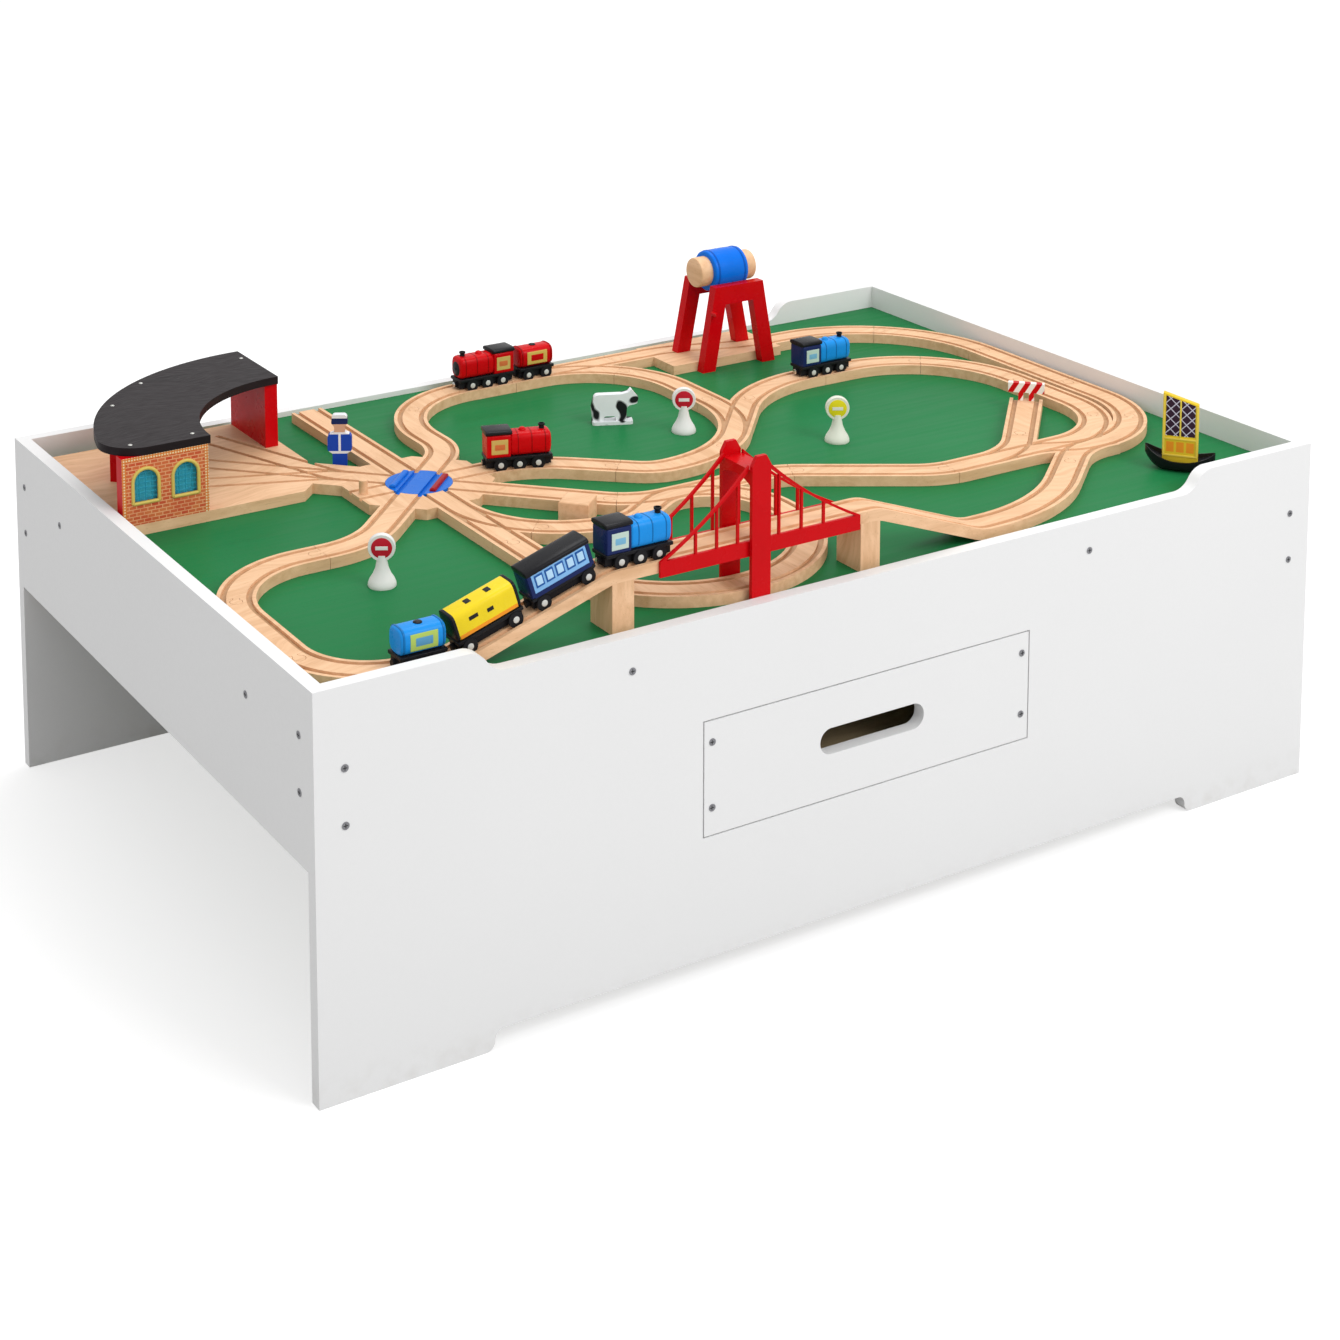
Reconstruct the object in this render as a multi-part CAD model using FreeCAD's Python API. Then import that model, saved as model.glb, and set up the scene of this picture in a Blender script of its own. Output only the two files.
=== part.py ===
import FreeCAD, Part
import math
import os

# Child's train table: a low board with a raised rim and two drawers, a wooden railway laid on it,
# and the bridge, shed, water tower, signs and trains that stand on the railway.
# Millimetres. X runs along the table, -Y is the front, Z is up from the floor.

# Table panels
LENGTH = 1270.0
DEPTH = 800.0
HEIGHT = 400.0
PANEL_T = 15.0
RIM_DIP = 23.7
DIP_START = 157.5
DIP_RUN = 43.5
FOOT_WIDTH = 175.0
FOOT_STEP = 20.0
ARCH_HEIGHT = 20.4
END_PANEL_BOTTOM = 223.6

# Play board, rails and corner blocks
BOARD_TOP = 370.0
BOARD_T = 9.0
RAIL_H = 30.0
RAIL_T = 20.0
CORNER_BLOCK = 35.0

# Drawers
DRAWER_WIDTH = 424.0
DRAWER_BOTTOM = 147.8
DRAWER_HEIGHT = 122.2
DRAWER_GAP = 1.5
DRAWER_DEPTH = 345.0
DRAWER_WALL = 10.0
DRAWER_SIDE_H = 96.0
DRAWER_FLOOR_T = 5.0
DRAWER_FLOOR_LIFT = 8.0
SLOT_WIDTH = 135.0
SLOT_HEIGHT = 28.0
SLOT_BOTTOM = 48.9
CARRIER_T = 18.0
CARRIER_GAP = 0.5
RUNNER_W = 14.0
RUNNER_T = 12.0
RUN_CLEARANCE = 0.3

# Screws
SCREW_HEAD_R = 3.8
SCREW_HEAD_T = 2.5
SCREW_SHANK_R = 2.0
SCREW_LENGTH = 30.0
SCREW_PROUD = 0.6
DRAWER_SCREW_LENGTH = 26.0
DRAWER_SCREW_FROM_BOTTOM = 28.6
DRAWER_SCREW_FROM_TOP = 22.1
LONG_PANEL_CORNER_SCREWS = ((31.0, 322.0), (31.0, 267.0))
END_PANEL_CORNER_SCREWS = ((30.0, 349.0), (30.0, 294.0))
LONG_PANEL_RAIL_SCREW = 340.0
END_PANEL_RAIL_SCREW = 147.0
RAIL_SCREW_Z = 341.5

# Wooden track
TRACK_W = 40.0
TRACK_T = 12.0
GROOVE_C = 12.9
GROOVE_W = 6.0
GROOVE_D = 3.0
PEG_R = 6.2
PEG_NECK_W = 6.0
PEG_REACH = 15.0
JOINT_GAP = 0.5
JOINT_FROM_END = 22.5
PIECE_LENGTH = 170.0
SHARED_MARGIN = 2.5
LAYOUT_STEP = 2.0

# Turntable
TABLE_X = -278.0
TABLE_Y = 67.0
TABLE_APOTHEM = 80.0
DISC_R = 38.0
DISC_T = 9.0
DISC_GAP = 0.4
HANDLE_W = 7.0
HANDLE_H = 4.0
SPINDLE_R = 4.0
SPINDLE_GAP = 0.05
DISC_HEADING = 45.0
END_POST_R = 5.0
END_POST_H = 16.0

# Layout lines on the board
FRONT_RUN_Y = -356.0
RING_LEFT_X = -197.0
RING_RIGHT_X = 167.0
RING_BOTTOM_Y = -33.0
BACK_RUN_Y = 338.0
RING_TOP_R = 130.0
RING_RIGHT_R = 168.0
RING_EXIT_R = 83.0
BEND_R = 150.0
BEND_START_R = 60.0
BEND_TURN = 40.6
OUTER_BEND_R = 90.0
LOOP_X = -598.0
LOOP_TOP_Y = -63.0
LOOP_R = 110.0
LOOP_CORNER_R = 90.0
INNER_RUN_Y = -111.0
LOWER_RUN_Y = -208.0
FEED_R = 100.0
LOWER_BEND_X = (88.0, 247.0)
RIGHT_X = 547.0
RIGHT_TOP_Y = 156.0
RIGHT_BOTTOM_R = 110.0
RIGHT_TOP_R = 150.0
MERGE_R = 200.0
MERGE_TURN = 48.0
COIL_RIGHT_X = 25.0
COIL_R = 151.0
COIL_END_R = 84.0
CROSS_RUN_Y = -150.0
CROSS_R = 130.0
CROSS_BEND_X = (-128.0, -68.0)
CROSS_BEND_R = 64.0
OUTER_X = 594.0
OUTER_TOP_Y = 303.0
OUTER_TOP_R = 182.0
OUTER_LOW_Y = -230.0
OUTER_LOW_R = 130.0
OUTER_BEND_X = (440.0, 395.0)
RAMP_ROUTE_X = 278.5
RAMP_ROUTE_R = 250.0
RAMP_MERGE_X = 434.0
SIDING_X = 362.0
SIDING_END = (504.0, -66.0)
BACK_SIDING_Y = 360.0

# Bridge
BRIDGE_TOP = 434.0
BRIDGE_LEFT_X = -290.0
BRIDGE_RIGHT_X = 13.0
RAMP_FOOT_LEFT_X = -482.0
RAMP_FOOT_RIGHT_X = 180.0
RAMP_LEAD = 12.0
RAMP_R = 60.0
PIER_W = 25.0
GIRDER_T = 3.0
GIRDER_H = 16.0
GIRDER_LAP = 16.0
GIRDER_ENDS = (41.0, 16.0)
GIRDER_CLEAR = 0.3
HANGER_W = 2.4
CABLE_W = 3.2
CABLE_END_W = 5.1
CABLE_GAP = 0.5
CABLE_SAG = 0.42
HANGER_PLACES = (0.12, 0.36, 0.60)
TOWER_X = -131.5
TOWER_W = 23.0
TOWER_LEG_T = 4.5
TOWER_TOP = 522.0
TOWER_TAPER_H = 10.0
TOWER_BEAM_TOP = 508.0
TOWER_BEAM_H = 16.0
TOWER_ARCH_RISE = 6.0
CABLE_TOP = 512.0

# Engine shed
SHED_X0 = -618.0
SHED_Y0 = 108.0
SHED_Y1 = 362.0
SHED_X1 = -355.0
SHED_CHAMFER = 45.0
SHED_NECK_W = 64.0
SHED_WALL_H = 76.0
SHED_WALL_T = 16.0
SHED_WALL_L = 100.0
SHED_FAN = 24.0
SHED_TRACK_L = 200.0
ROOF_X = -362.0
ROOF_Y = 108.0
ROOF_R_OUT = 256.0
ROOF_R_IN = 150.0
ROOF_T = 9.0
ROOF_OVERHANG = 10.0
ROOF_CORNER_R = 42.0
WINDOW_W = 30.0
WINDOW_H = 38.0
WINDOW_SILL = 24.0
WINDOW_FROM_END = 27.0
PANE_T = 4.0

# Water tower
PLATE_X = (205.0, 376.0)
PLATE_Y = (271.0, 361.0)
PLATE_BEND_X = (240.0, 340.0)
PLATE_BEND_R = 200.0
FRAME_X = 298.5
FRAME_FOOT_HALF = 57.5
FRAME_TOP_HALF = 37.5
FRAME_LEG_W = 20.0
FRAME_TOP = 481.0
FRAME_BEAM_H = 24.0
FRAME_T = 13.0
FRAME_FRONT_Y = 257.0
FRAME_BACK_Y = 316.0
BARREL_R = 26.5
BARREL_EDGE = 2.0
BARREL_SHIFT = -4.0
BARREL_L = 52.0
BARREL_END_R = 19.5
BARREL_END_T = 18.0
BARREL_CLEAR = 0.3
TOWER_PIN_R = 3.0
TOWER_PIN_L = 11.0
TOWER_PIN_Z = 448.0

# Trains
WHEEL_R = 8.0
WHEEL_T = 3.0
WHEEL_SIDES = 20
AXLE_R = 1.8
WHEEL_LIFT = 0.3
WHEEL_WELL = 0.8
BODY_W = 27.0
CHASSIS_W = 18.0
CHASSIS_Z = 4.6
CHASSIS_T = 8.0
ENGINE_L = 84.0
ENGINE_AXLES = (-22.0, 0.0, 22.0)
COACH_L = 80.0
COACH_AXLES = (-26.0, 26.0)
TENDER_L = 56.0
TENDER_AXLES = (-13.0, 13.0)
COUPLER_R = 3.6
COUPLER_L = 4.0
COUPLER_GAP = 0.3
BODY_Z = 12.8
FOOTPLATE_T = 3.0
BOILER_R = 12.0
BOILER_LAP = 1.0
SADDLE_INSET = 6.0
SADDLE_SHARE = 0.8
TANK_INSET = 18.0
TANK_RISE = 3.0
TANK_EDGE_R = 3.0
CAB_L = 30.0
CAB_H = 33.0
CAB_ROOF_RISE = 5.0
CAB_WINDOW_INSET = 8.0
CAB_WINDOW_DROP = 5.0
CAB_WINDOW_H = 10.0
EAVES = 1.0
COACH_H = 34.0
COACH_ROOF_RISE = 6.0
COACH_WINDOWS = 5
COACH_WINDOW_SHARE = 0.72
COACH_WINDOW_H = 9.0
COACH_WINDOW_DROP = 4.0
COACH_END_POST = 4.0
CAR_ROOF_RISE = 5.0
TENDER_H = 26.0
TENDER_WALL = 3.0
TENDER_BUNKER_D = 6.0
TENDER_LOAD_H = 7.0
CHIMNEY_R = 4.0
CHIMNEY_H = 10.0
CHIMNEY_INSET = 10.0
CHIMNEY_LAP = 2.0
RING_ENGINE_X = -42.0
RING_TENDER_X = 31.0
YARD_ENGINE_TURN = 17.0
YARD_ENGINE_INSET = 1.25
BLUE_ENGINE_X = 355.0
BRIDGE_ENGINE_X = -266.0
COACH_X = -349.0
CAR_X = -430.0
LAST_TENDER_X = -505.0

# Small pieces
SIGN_BASE = 29.0
SIGN_BASE_T = 8.0
SIGN_BASE_R = 4.0
SIGN_POST_R = 3.0
SIGN_FACE_R = 13.0
SIGN_FACE_T = 4.0
LEFT_SIGN_XY = (-436.0, -149.0)
RIGHT_SIGN_XY = (92.0, 82.0)
ROUND_SIGN_XY = (229.0, -41.0)
STOP_SIGN_H = 55.0
ROUND_SIGN_H = 57.0
STOP_SIGN_SIDES = 8
ROUND_SIGN_SIDES = 16
SIGN_HEADING = -30.0
COW_XY = (36.0, 155.0)
COW_HEADING = -24.0
COW_T = 10.0
COW_FOOT = (50.0, 18.0, 4.0)
COW_HALF = 24.0
COW_BACK = 33.0
COW_BELLY = 6.0
COW_LEG = 13.0
GUARD_XY = (-320.0, 182.0)
GUARD_HEADING = -30.0
GUARD_W = 28.0
GUARD_H = 66.0
FIGURE_T = 9.0
BLOCK_XY = (-170.0, -98.0)
BLOCK_HEADING = -48.0
BLOCK_W = 34.0
BLOCK_H = 25.0
BUFFER_W = 44.0
BUFFER_T = 8.0
BUFFER_H = 12.0
BUFFER_POST_H = 10.0
BUFFER_POST_W = 6.0
BARGE_XY = (506.0, -323.0)
BARGE_HEADING = -50.0
BARGE_L = 80.0
BARGE_W = 38.0
BARGE_BOW = 28.0
BARGE_DECK = 14.0
BARGE_STERN = 24.0
BARGE_SWELL = 3.0
PANEL_W = 40.0
PANEL_H = 84.0
PANEL_DEPTH = 9.0
PANEL_SLANT = 12.0
PANEL_RIM = 4.0
PANEL_RECESS = 1.5
PANEL_FIELD_Z = 33.0
PANEL_CELLS = 3
PANEL_CELL_Z = 13.0
PANEL_CELL_H = 13.0

V = FreeCAD.Vector
TRACK_TOP = BOARD_TOP + TRACK_T
GROOVE_FLOOR = TRACK_TOP - GROOVE_D
BRIDGE_BOTTOM = BRIDGE_TOP - TRACK_T
HALF_L = LENGTH / 2
HALF_D = DEPTH / 2
INNER_X = HALF_L - PANEL_T
INNER_Y = HALF_D - PANEL_T
BOARD_UNDER = BOARD_TOP - BOARD_T


def box(x0, x1, y0, y1, z0, z1):
    """Block between two corners."""
    return Part.makeBox(x1 - x0, y1 - y0, z1 - z0, V(x0, y0, z0))


def rod(x, y, z, axis, radius, length):
    """Cylinder from a point along an axis."""
    return Part.makeCylinder(radius, length, V(x, y, z), V(*axis))


def heading_vector(angle):
    return math.cos(math.radians(angle)), math.sin(math.radians(angle))


def turn_between(a, b):
    """Signed turn in degrees from heading a to heading b, within half a turn."""
    return (b - a + 180) % 360 - 180


def prism(wire, direction):
    return Part.Face(wire).extrude(V(*direction))


def polygon(points):
    """Closed wire through flat or space points."""
    corners = [V(*p) if len(p) == 3 else V(p[0], p[1], 0) for p in points]
    return Part.makePolygon(corners + corners[:1])


def path_runs(points):
    """Runs (x, y, heading, length, radius) of a path; radius 0 is straight, plus turns left."""
    runs = []
    x, y = points[0][:2]
    for index, corner in enumerate(points[1:]):
        here = points[index]
        heading = math.degrees(math.atan2(corner[1] - here[1], corner[0] - here[0]))
        dx, dy = heading_vector(heading)
        turn, tangent, radius = 0.0, 0.0, 0.0
        if index + 2 < len(points):
            after = points[index + 2]
            onward = math.degrees(math.atan2(after[1] - corner[1], after[0] - corner[0]))
            turn = turn_between(heading, onward)
            per_radius = math.tan(math.radians(abs(turn) / 2))
            room = min(math.hypot(corner[0] - x, corner[1] - y),
                       math.hypot(after[0] - corner[0], after[1] - corner[1]))
            radius = min(corner[2], room / per_radius) if per_radius > 0.001 else 0.0
            tangent = radius * per_radius
        end = corner[0] - tangent * dx, corner[1] - tangent * dy
        straight = math.hypot(end[0] - x, end[1] - y)
        if straight > 0.01:
            runs.append((x, y, heading, straight, 0.0))
        x, y = end
        if tangent:
            runs.append((x, y, heading, radius * math.radians(abs(turn)), math.copysign(radius, turn)))
            dx, dy = heading_vector(onward)
            x, y = corner[0] + tangent * dx, corner[1] + tangent * dy
    return runs


def run_point(run, along, aside):
    """Point and heading on a run, a distance along it and to its left."""
    x, y, heading, _, radius = run
    if radius:
        new = heading + math.degrees(along / radius)
        dx, dy = heading_vector(heading)
        ex, ey = heading_vector(new)
        cx, cy = x - radius * dy, y + radius * dx
        return cx + (radius - aside) * ey, cy - (radius - aside) * ex, new
    dx, dy = heading_vector(heading)
    return x + along * dx - aside * dy, y + along * dy + aside * dx, heading


def run_edge(run, aside, start, end):
    """Line or arc beside a run, from start to end along it."""
    a = V(*run_point(run, start, aside)[:2], 0)
    b = V(*run_point(run, end, aside)[:2], 0)
    if run[4]:
        middle = V(*run_point(run, (start + end) / 2, aside)[:2], 0)
        return Part.Arc(a, middle, b).toShape()
    return Part.LineSegment(a, b).toShape()


class Route:
    """Centreline of a stretch of track, straight between corners that are rounded by arcs."""

    def __init__(self, node, points):
        self.node = node
        self.runs = path_runs(points)
        self.length = sum(run[3] for run in self.runs)
        count = max(1, int(self.length / LAYOUT_STEP))
        self.samples = [(i * self.length / count, self.station(i * self.length / count))
                        for i in range(count + 1)]

    def station(self, s, aside=0.0):
        for run in self.runs:
            if s <= run[3] or run is self.runs[-1]:
                return run_point(run, s, aside)
            s -= run[3]

    def portion(self, start, end):
        """Parts (run, from, to) of the runs that lie between two stations."""
        parts, s = [], 0.0
        for run in self.runs:
            low, high = max(start - s, 0.0), min(end - s, run[3])
            if high - low > 0.01:
                parts.append((run, low, high))
            s += run[3]
        return parts

    def strip(self, inner, outer, z0, z1, start=0.0, end=None):
        """Solid band between two sideways distances and two stations."""
        parts = self.portion(start, self.length if end is None else end)
        left = [run_edge(run, outer, low, high) for run, low, high in parts]
        right = [run_edge(run, inner, low, high) for run, low, high in parts]
        first = Part.LineSegment(right[0].Vertexes[0].Point, left[0].Vertexes[0].Point).toShape()
        last = Part.LineSegment(left[-1].Vertexes[-1].Point, right[-1].Vertexes[-1].Point).toShape()
        band = prism(Part.Wire(Part.__sortEdges__(left + right + [first, last])), (0, 0, z1 - z0))
        band.translate(V(0, 0, z0))
        return band

    def ribbon(self, start=0.0, end=None):
        return self.strip(-TRACK_W / 2, TRACK_W / 2, BOARD_TOP, TRACK_TOP, start, end)

    def grooves(self):
        """The two wheel grooves along the route, reaching above the top so that they open."""
        half = GROOVE_W / 2
        return [self.strip(side * GROOVE_C - half, side * GROOVE_C + half, GROOVE_FLOOR, TRACK_TOP + 1)
                for side in (-1, 1)]

    def piece_joints(self, others):
        """Stations (s, direction) of the peg joints: at each end of a turnout, with the peg pointing
        out of it, and at even steps along the stretches between turnouts."""
        points = [p for other in others for _, p in other.samples]
        reach = TRACK_W + SHARED_MARGIN
        marks = []
        for s, (x, y, _) in self.samples:
            near = any(abs(px - x) < reach and abs(py - y) < reach and math.hypot(px - x, py - y) < reach
                       for px, py, _ in points)
            marks.append((s, near))
        joints, start, shared = [], 0.0, marks[0][1]
        for (s, near), (_, before) in zip(marks[1:], marks):
            if before and not near:
                joints.append((s, 1))
                start, shared = s, True
            if near and not before:
                joints += even_joints(start, s, shared, True)
                joints.append((s, -1))
        if not marks[-1][1]:
            joints += even_joints(start, self.length, shared, False)
        return [(s, d) for s, d in joints if JOINT_FROM_END < s < self.length - JOINT_FROM_END]


def even_joints(start, end, from_turnout, to_turnout):
    """Even steps that split a clear stretch into pieces of about one piece length."""
    count = max(1, round((end - start) / PIECE_LENGTH))
    return [(start + (end - start) * i / count, 1) for i in range(1, count)]


def peg_shape(x, y, heading, grow, height):
    """Round-headed peg pointing along the heading, or its socket when grown by the joint gap."""
    low = BOARD_TOP if grow == 0 else BOARD_TOP - 1
    half_neck, neck_end = PEG_NECK_W / 2 + grow, PEG_REACH - PEG_R
    peg = box(-1, neck_end, -half_neck, half_neck, low, low + height)
    peg = peg.fuse(rod(neck_end, 0, low, (0, 0, 1), PEG_R + grow, height))
    peg.rotate(V(0, 0, 0), V(0, 0, 1), heading)
    peg.translate(V(x, y, 0))
    return peg


def track_piece(route, start, end):
    """One wooden piece between two joints (station, direction), with its pegs and sockets.

    A joint's peg points along the route where its direction is 1 and back where it is -1."""
    s0, peg_back = start[0], start[1] < 0
    s1, peg_on = end[0], end[1] > 0
    wood = route.ribbon(s0 if peg_back or not start[1] else s0 + JOINT_GAP,
                        s1 if peg_on or not end[1] else s1 - JOINT_GAP)
    for (s, direction), has_peg in ((start, peg_back), (end, peg_on)):
        if direction:
            x, y, heading = route.station(s)
            turn = heading if direction > 0 else heading + 180
            if has_peg:
                wood = wood.fuse(peg_shape(x, y, turn, 0, TRACK_T))
            else:
                wood = wood.cut(peg_shape(x, y, turn, JOINT_GAP, TRACK_T + 2))
    return wood


def exit_point(angle):
    """Middle of the turntable side that faces the angle."""
    dx, dy = heading_vector(angle)
    return TABLE_X + TABLE_APOTHEM * dx, TABLE_Y + TABLE_APOTHEM * dy


def routes():
    """Every stretch of flat track, from the turntable outwards."""
    bend_turn, merge_turn = math.radians(BEND_TURN), math.radians(MERGE_TURN)
    x45, y45 = exit_point(45)
    x0, y0 = exit_point(0)
    x_low, y_low = exit_point(-45)
    x_left, y_left = exit_point(225)
    x_up, y_up = exit_point(90)
    x_down, y_down = exit_point(-90)
    bend_x = x0 + BEND_R * math.tan(bend_turn / 2)
    bend_start_x = bend_x + (y0 - RING_BOTTOM_Y) / math.tan(bend_turn)
    ring_centre = RING_RIGHT_X - RING_RIGHT_R, RING_BOTTOM_Y + RING_RIGHT_R
    mx, my = heading_vector(MERGE_TURN - 90)
    merge = ring_centre[0] + RING_RIGHT_R * mx, ring_centre[1] + RING_RIGHT_R * my
    merge_corner_x = merge[0] + (RIGHT_TOP_Y - merge[1]) / math.tan(merge_turn)
    return [
        Route("left_ring_track", [
            (x45, y45),
            (RING_LEFT_X, y45 + RING_LEFT_X - x45, RING_EXIT_R),
            (RING_LEFT_X, BACK_RUN_Y, RING_TOP_R),
            (RING_RIGHT_X, BACK_RUN_Y, RING_TOP_R),
            (RING_RIGHT_X, RING_BOTTOM_Y, RING_RIGHT_R),
            (bend_start_x, RING_BOTTOM_Y, BEND_START_R),
            (bend_x, y0, BEND_R),
            (x0, y0)]),
        Route("right_ring_track", [
            (x_low, y_low),
            (x_low + y_low - INNER_RUN_Y, INNER_RUN_Y, FEED_R),
            (LOWER_BEND_X[0], INNER_RUN_Y, FEED_R),
            (LOWER_BEND_X[1], LOWER_RUN_Y, FEED_R),
            (RIGHT_X, LOWER_RUN_Y, RIGHT_BOTTOM_R),
            (RIGHT_X, RIGHT_TOP_Y, RIGHT_TOP_R),
            (merge_corner_x, RIGHT_TOP_Y, MERGE_R),
            merge]),
        Route("coil_track", [
            (x_down, y_down),
            (x_down, FRONT_RUN_Y, COIL_R),
            (COIL_RIGHT_X, FRONT_RUN_Y, COIL_R),
            (COIL_RIGHT_X, INNER_RUN_Y, COIL_END_R),
            (COIL_RIGHT_X - COIL_END_R - 1, INNER_RUN_Y)]),
        Route("coil_track", [
            (x_down, CROSS_RUN_Y + CROSS_R),
            (x_down, CROSS_RUN_Y, CROSS_R),
            (CROSS_BEND_X[0], CROSS_RUN_Y, CROSS_BEND_R),
            (CROSS_BEND_X[1], INNER_RUN_Y, CROSS_BEND_R),
            (CROSS_BEND_X[1] + 2 * CROSS_BEND_R, INNER_RUN_Y)]),
        Route("left_loop_track", [
            (x_left, y_left),
            (x_left - (y_left - LOOP_TOP_Y), LOOP_TOP_Y, LOOP_R),
            (LOOP_X, LOOP_TOP_Y, LOOP_R),
            (LOOP_X, FRONT_RUN_Y, LOOP_CORNER_R),
            (RAMP_FOOT_LEFT_X, FRONT_RUN_Y)]),
        Route("outer_loop_track", [
            (RING_RIGHT_X - RING_TOP_R, BACK_RUN_Y),
            (PLATE_X[0], BACK_RUN_Y)]),
        Route("outer_loop_track", [
            (PLATE_X[1], OUTER_TOP_Y),
            (OUTER_X, OUTER_TOP_Y, OUTER_TOP_R),
            (OUTER_X, OUTER_LOW_Y, OUTER_LOW_R),
            (OUTER_BEND_X[0], OUTER_LOW_Y, OUTER_BEND_R),
            (OUTER_BEND_X[1], LOWER_RUN_Y, OUTER_BEND_R),
            (OUTER_BEND_X[1] - OUTER_BEND_R, LOWER_RUN_Y)]),
        Route("outer_loop_track", [
            (RAMP_FOOT_RIGHT_X, FRONT_RUN_Y),
            (RAMP_ROUTE_X, FRONT_RUN_Y, RAMP_ROUTE_R),
            (RAMP_MERGE_X, OUTER_LOW_Y, FEED_R),
            (RAMP_MERGE_X + FEED_R / 2, OUTER_LOW_Y)]),
        Route("siding_tracks", [
            (SIDING_X - RIGHT_BOTTOM_R / 2, LOWER_RUN_Y),
            (SIDING_X, LOWER_RUN_Y, RIGHT_BOTTOM_R),
            SIDING_END]),
        Route("siding_tracks", [
            (x_up, y_up),
            (x_up, BACK_SIDING_Y)]),
    ]


def meets(a, b):
    """True where two stretches (route, start, end) of different routes share wood."""
    if a[0] is b[0]:
        return False
    near = [p for s, p in a[0].samples if a[1] < s < a[2]]
    far = [p for s, p in b[0].samples if b[1] < s < b[2]]
    return any(math.hypot(p[0] - q[0], p[1] - q[1]) < TRACK_W - LAYOUT_STEP for p in near for q in far)


def trackwork():
    """All flat track. Stretches that run into each other are one turnout; all get their grooves."""
    lines = routes()
    stretches = []
    for route in lines:
        others = [other for other in lines if other is not route]
        joints = [(0.0, 0)] + route.piece_joints(others) + [(route.length, 0)]
        for start, end in zip(joints, joints[1:]):
            stretches.append((route, start[0], end[0], track_piece(route, start, end)))
    nodes = {}
    while stretches:
        group = [stretches.pop(0)]
        for member in group:
            joining = [other for other in stretches if meets(member, other)]
            group += joining
            stretches = [other for other in stretches if not any(other is taken for taken in joining)]
        wood = group[0][3]
        for member in group[1:]:
            wood = wood.fuse(member[3])
        passing = {id(member[0]): member[0] for member in group}
        wood = wood.cut([groove for route in passing.values() for groove in route.grooves()])
        nodes.setdefault(group[0][0].node, []).append(wood.removeSplitter())
    return nodes


def s_step(x0, z0, x1, z1):
    """Two tangent arcs that carry an edge from one level to another, level at both ends."""
    mid = V((x0 + x1) / 2, 0, (z0 + z1) / 2)
    run, rise = (x1 - x0) / 2, (z1 - z0) / 2
    radius = (run * run + rise * rise) / (2 * abs(rise))
    half = math.atan2(abs(rise), abs(run))
    out = math.copysign(radius * math.sin(half), run)
    drop = math.copysign(radius * (1 - math.cos(half)), rise)
    first = V(x0 + out, 0, z0 + drop)
    second = V(x1 - out, 0, z1 - drop)
    return [Part.Arc(V(x0, 0, z0), first, mid).toShape(), Part.Arc(mid, second, V(x1, 0, z1)).toShape()]


def line(x0, z0, x1, z1):
    return Part.LineSegment(V(x0, 0, z0), V(x1, 0, z1)).toShape()


def long_panel(y):
    """Front or back panel: two feet, an arched underside, a dipped rim and the drawer hole."""
    dip_in = HALF_L - DIP_START
    dip_out = dip_in - DIP_RUN
    foot_in = HALF_L - FOOT_WIDTH
    foot_out = foot_in - FOOT_STEP
    low = HEIGHT - RIM_DIP
    edges = [line(-HALF_L, 0, -foot_in, 0)]
    edges += s_step(-foot_in, 0, -foot_out, ARCH_HEIGHT)
    edges.append(line(-foot_out, ARCH_HEIGHT, foot_out, ARCH_HEIGHT))
    edges += s_step(foot_out, ARCH_HEIGHT, foot_in, 0)
    edges.append(line(foot_in, 0, HALF_L, 0))
    edges.append(line(HALF_L, 0, HALF_L, HEIGHT))
    edges.append(line(HALF_L, HEIGHT, dip_in, HEIGHT))
    edges += s_step(dip_in, HEIGHT, dip_out, low)
    edges.append(line(dip_out, low, -dip_out, low))
    edges += s_step(-dip_out, low, -dip_in, HEIGHT)
    edges.append(line(-dip_in, HEIGHT, -HALF_L, HEIGHT))
    edges.append(line(-HALF_L, HEIGHT, -HALF_L, 0))
    panel = prism(Part.Wire(edges), (0, PANEL_T, 0))
    half = DRAWER_WIDTH / 2
    panel = panel.cut(box(-half, half, -1, PANEL_T + 1, DRAWER_BOTTOM, DRAWER_BOTTOM + DRAWER_HEIGHT))
    panel.translate(V(0, y, 0))
    return panel


def screw(x, y, z, axis, length=SCREW_LENGTH):
    """Pan-head screw driven along the axis from a panel's outer face, its head a little proud."""
    dx, dy, dz = axis
    proud = SCREW_PROUD
    head = rod(x - proud * dx, y - proud * dy, z - proud * dz, axis, SCREW_HEAD_R, SCREW_HEAD_T)
    return head.fuse(rod(x, y, z, axis, SCREW_SHANK_R, length))


def panel_screws():
    """Screws through the panels into the corner blocks and the board rails."""
    screws = []
    for side in (-1, 1):
        inward = (0, -side, 0)
        for end in (-1, 1):
            places = [(HALF_L - inset, z) for inset, z in LONG_PANEL_CORNER_SCREWS]
            places.append((HALF_L - LONG_PANEL_RAIL_SCREW, RAIL_SCREW_Z))
            screws += [screw(end * x, side * HALF_D, z, inward) for x, z in places]
            places = [(HALF_D - inset, z) for inset, z in END_PANEL_CORNER_SCREWS]
            places.append((HALF_D - END_PANEL_RAIL_SCREW, RAIL_SCREW_Z))
            screws += [screw(side * HALF_L, end * y, z, (-side, 0, 0)) for y, z in places]
    return screws


def corner_blocks():
    blocks = []
    for x in (-1, 1):
        for y in (-1, 1):
            xs = sorted((x * INNER_X, x * (INNER_X - CORNER_BLOCK)))
            ys = sorted((y * INNER_Y, y * (INNER_Y - CORNER_BLOCK)))
            blocks.append(box(*xs, *ys, END_PANEL_BOTTOM, BOARD_UNDER))
    return blocks


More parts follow.
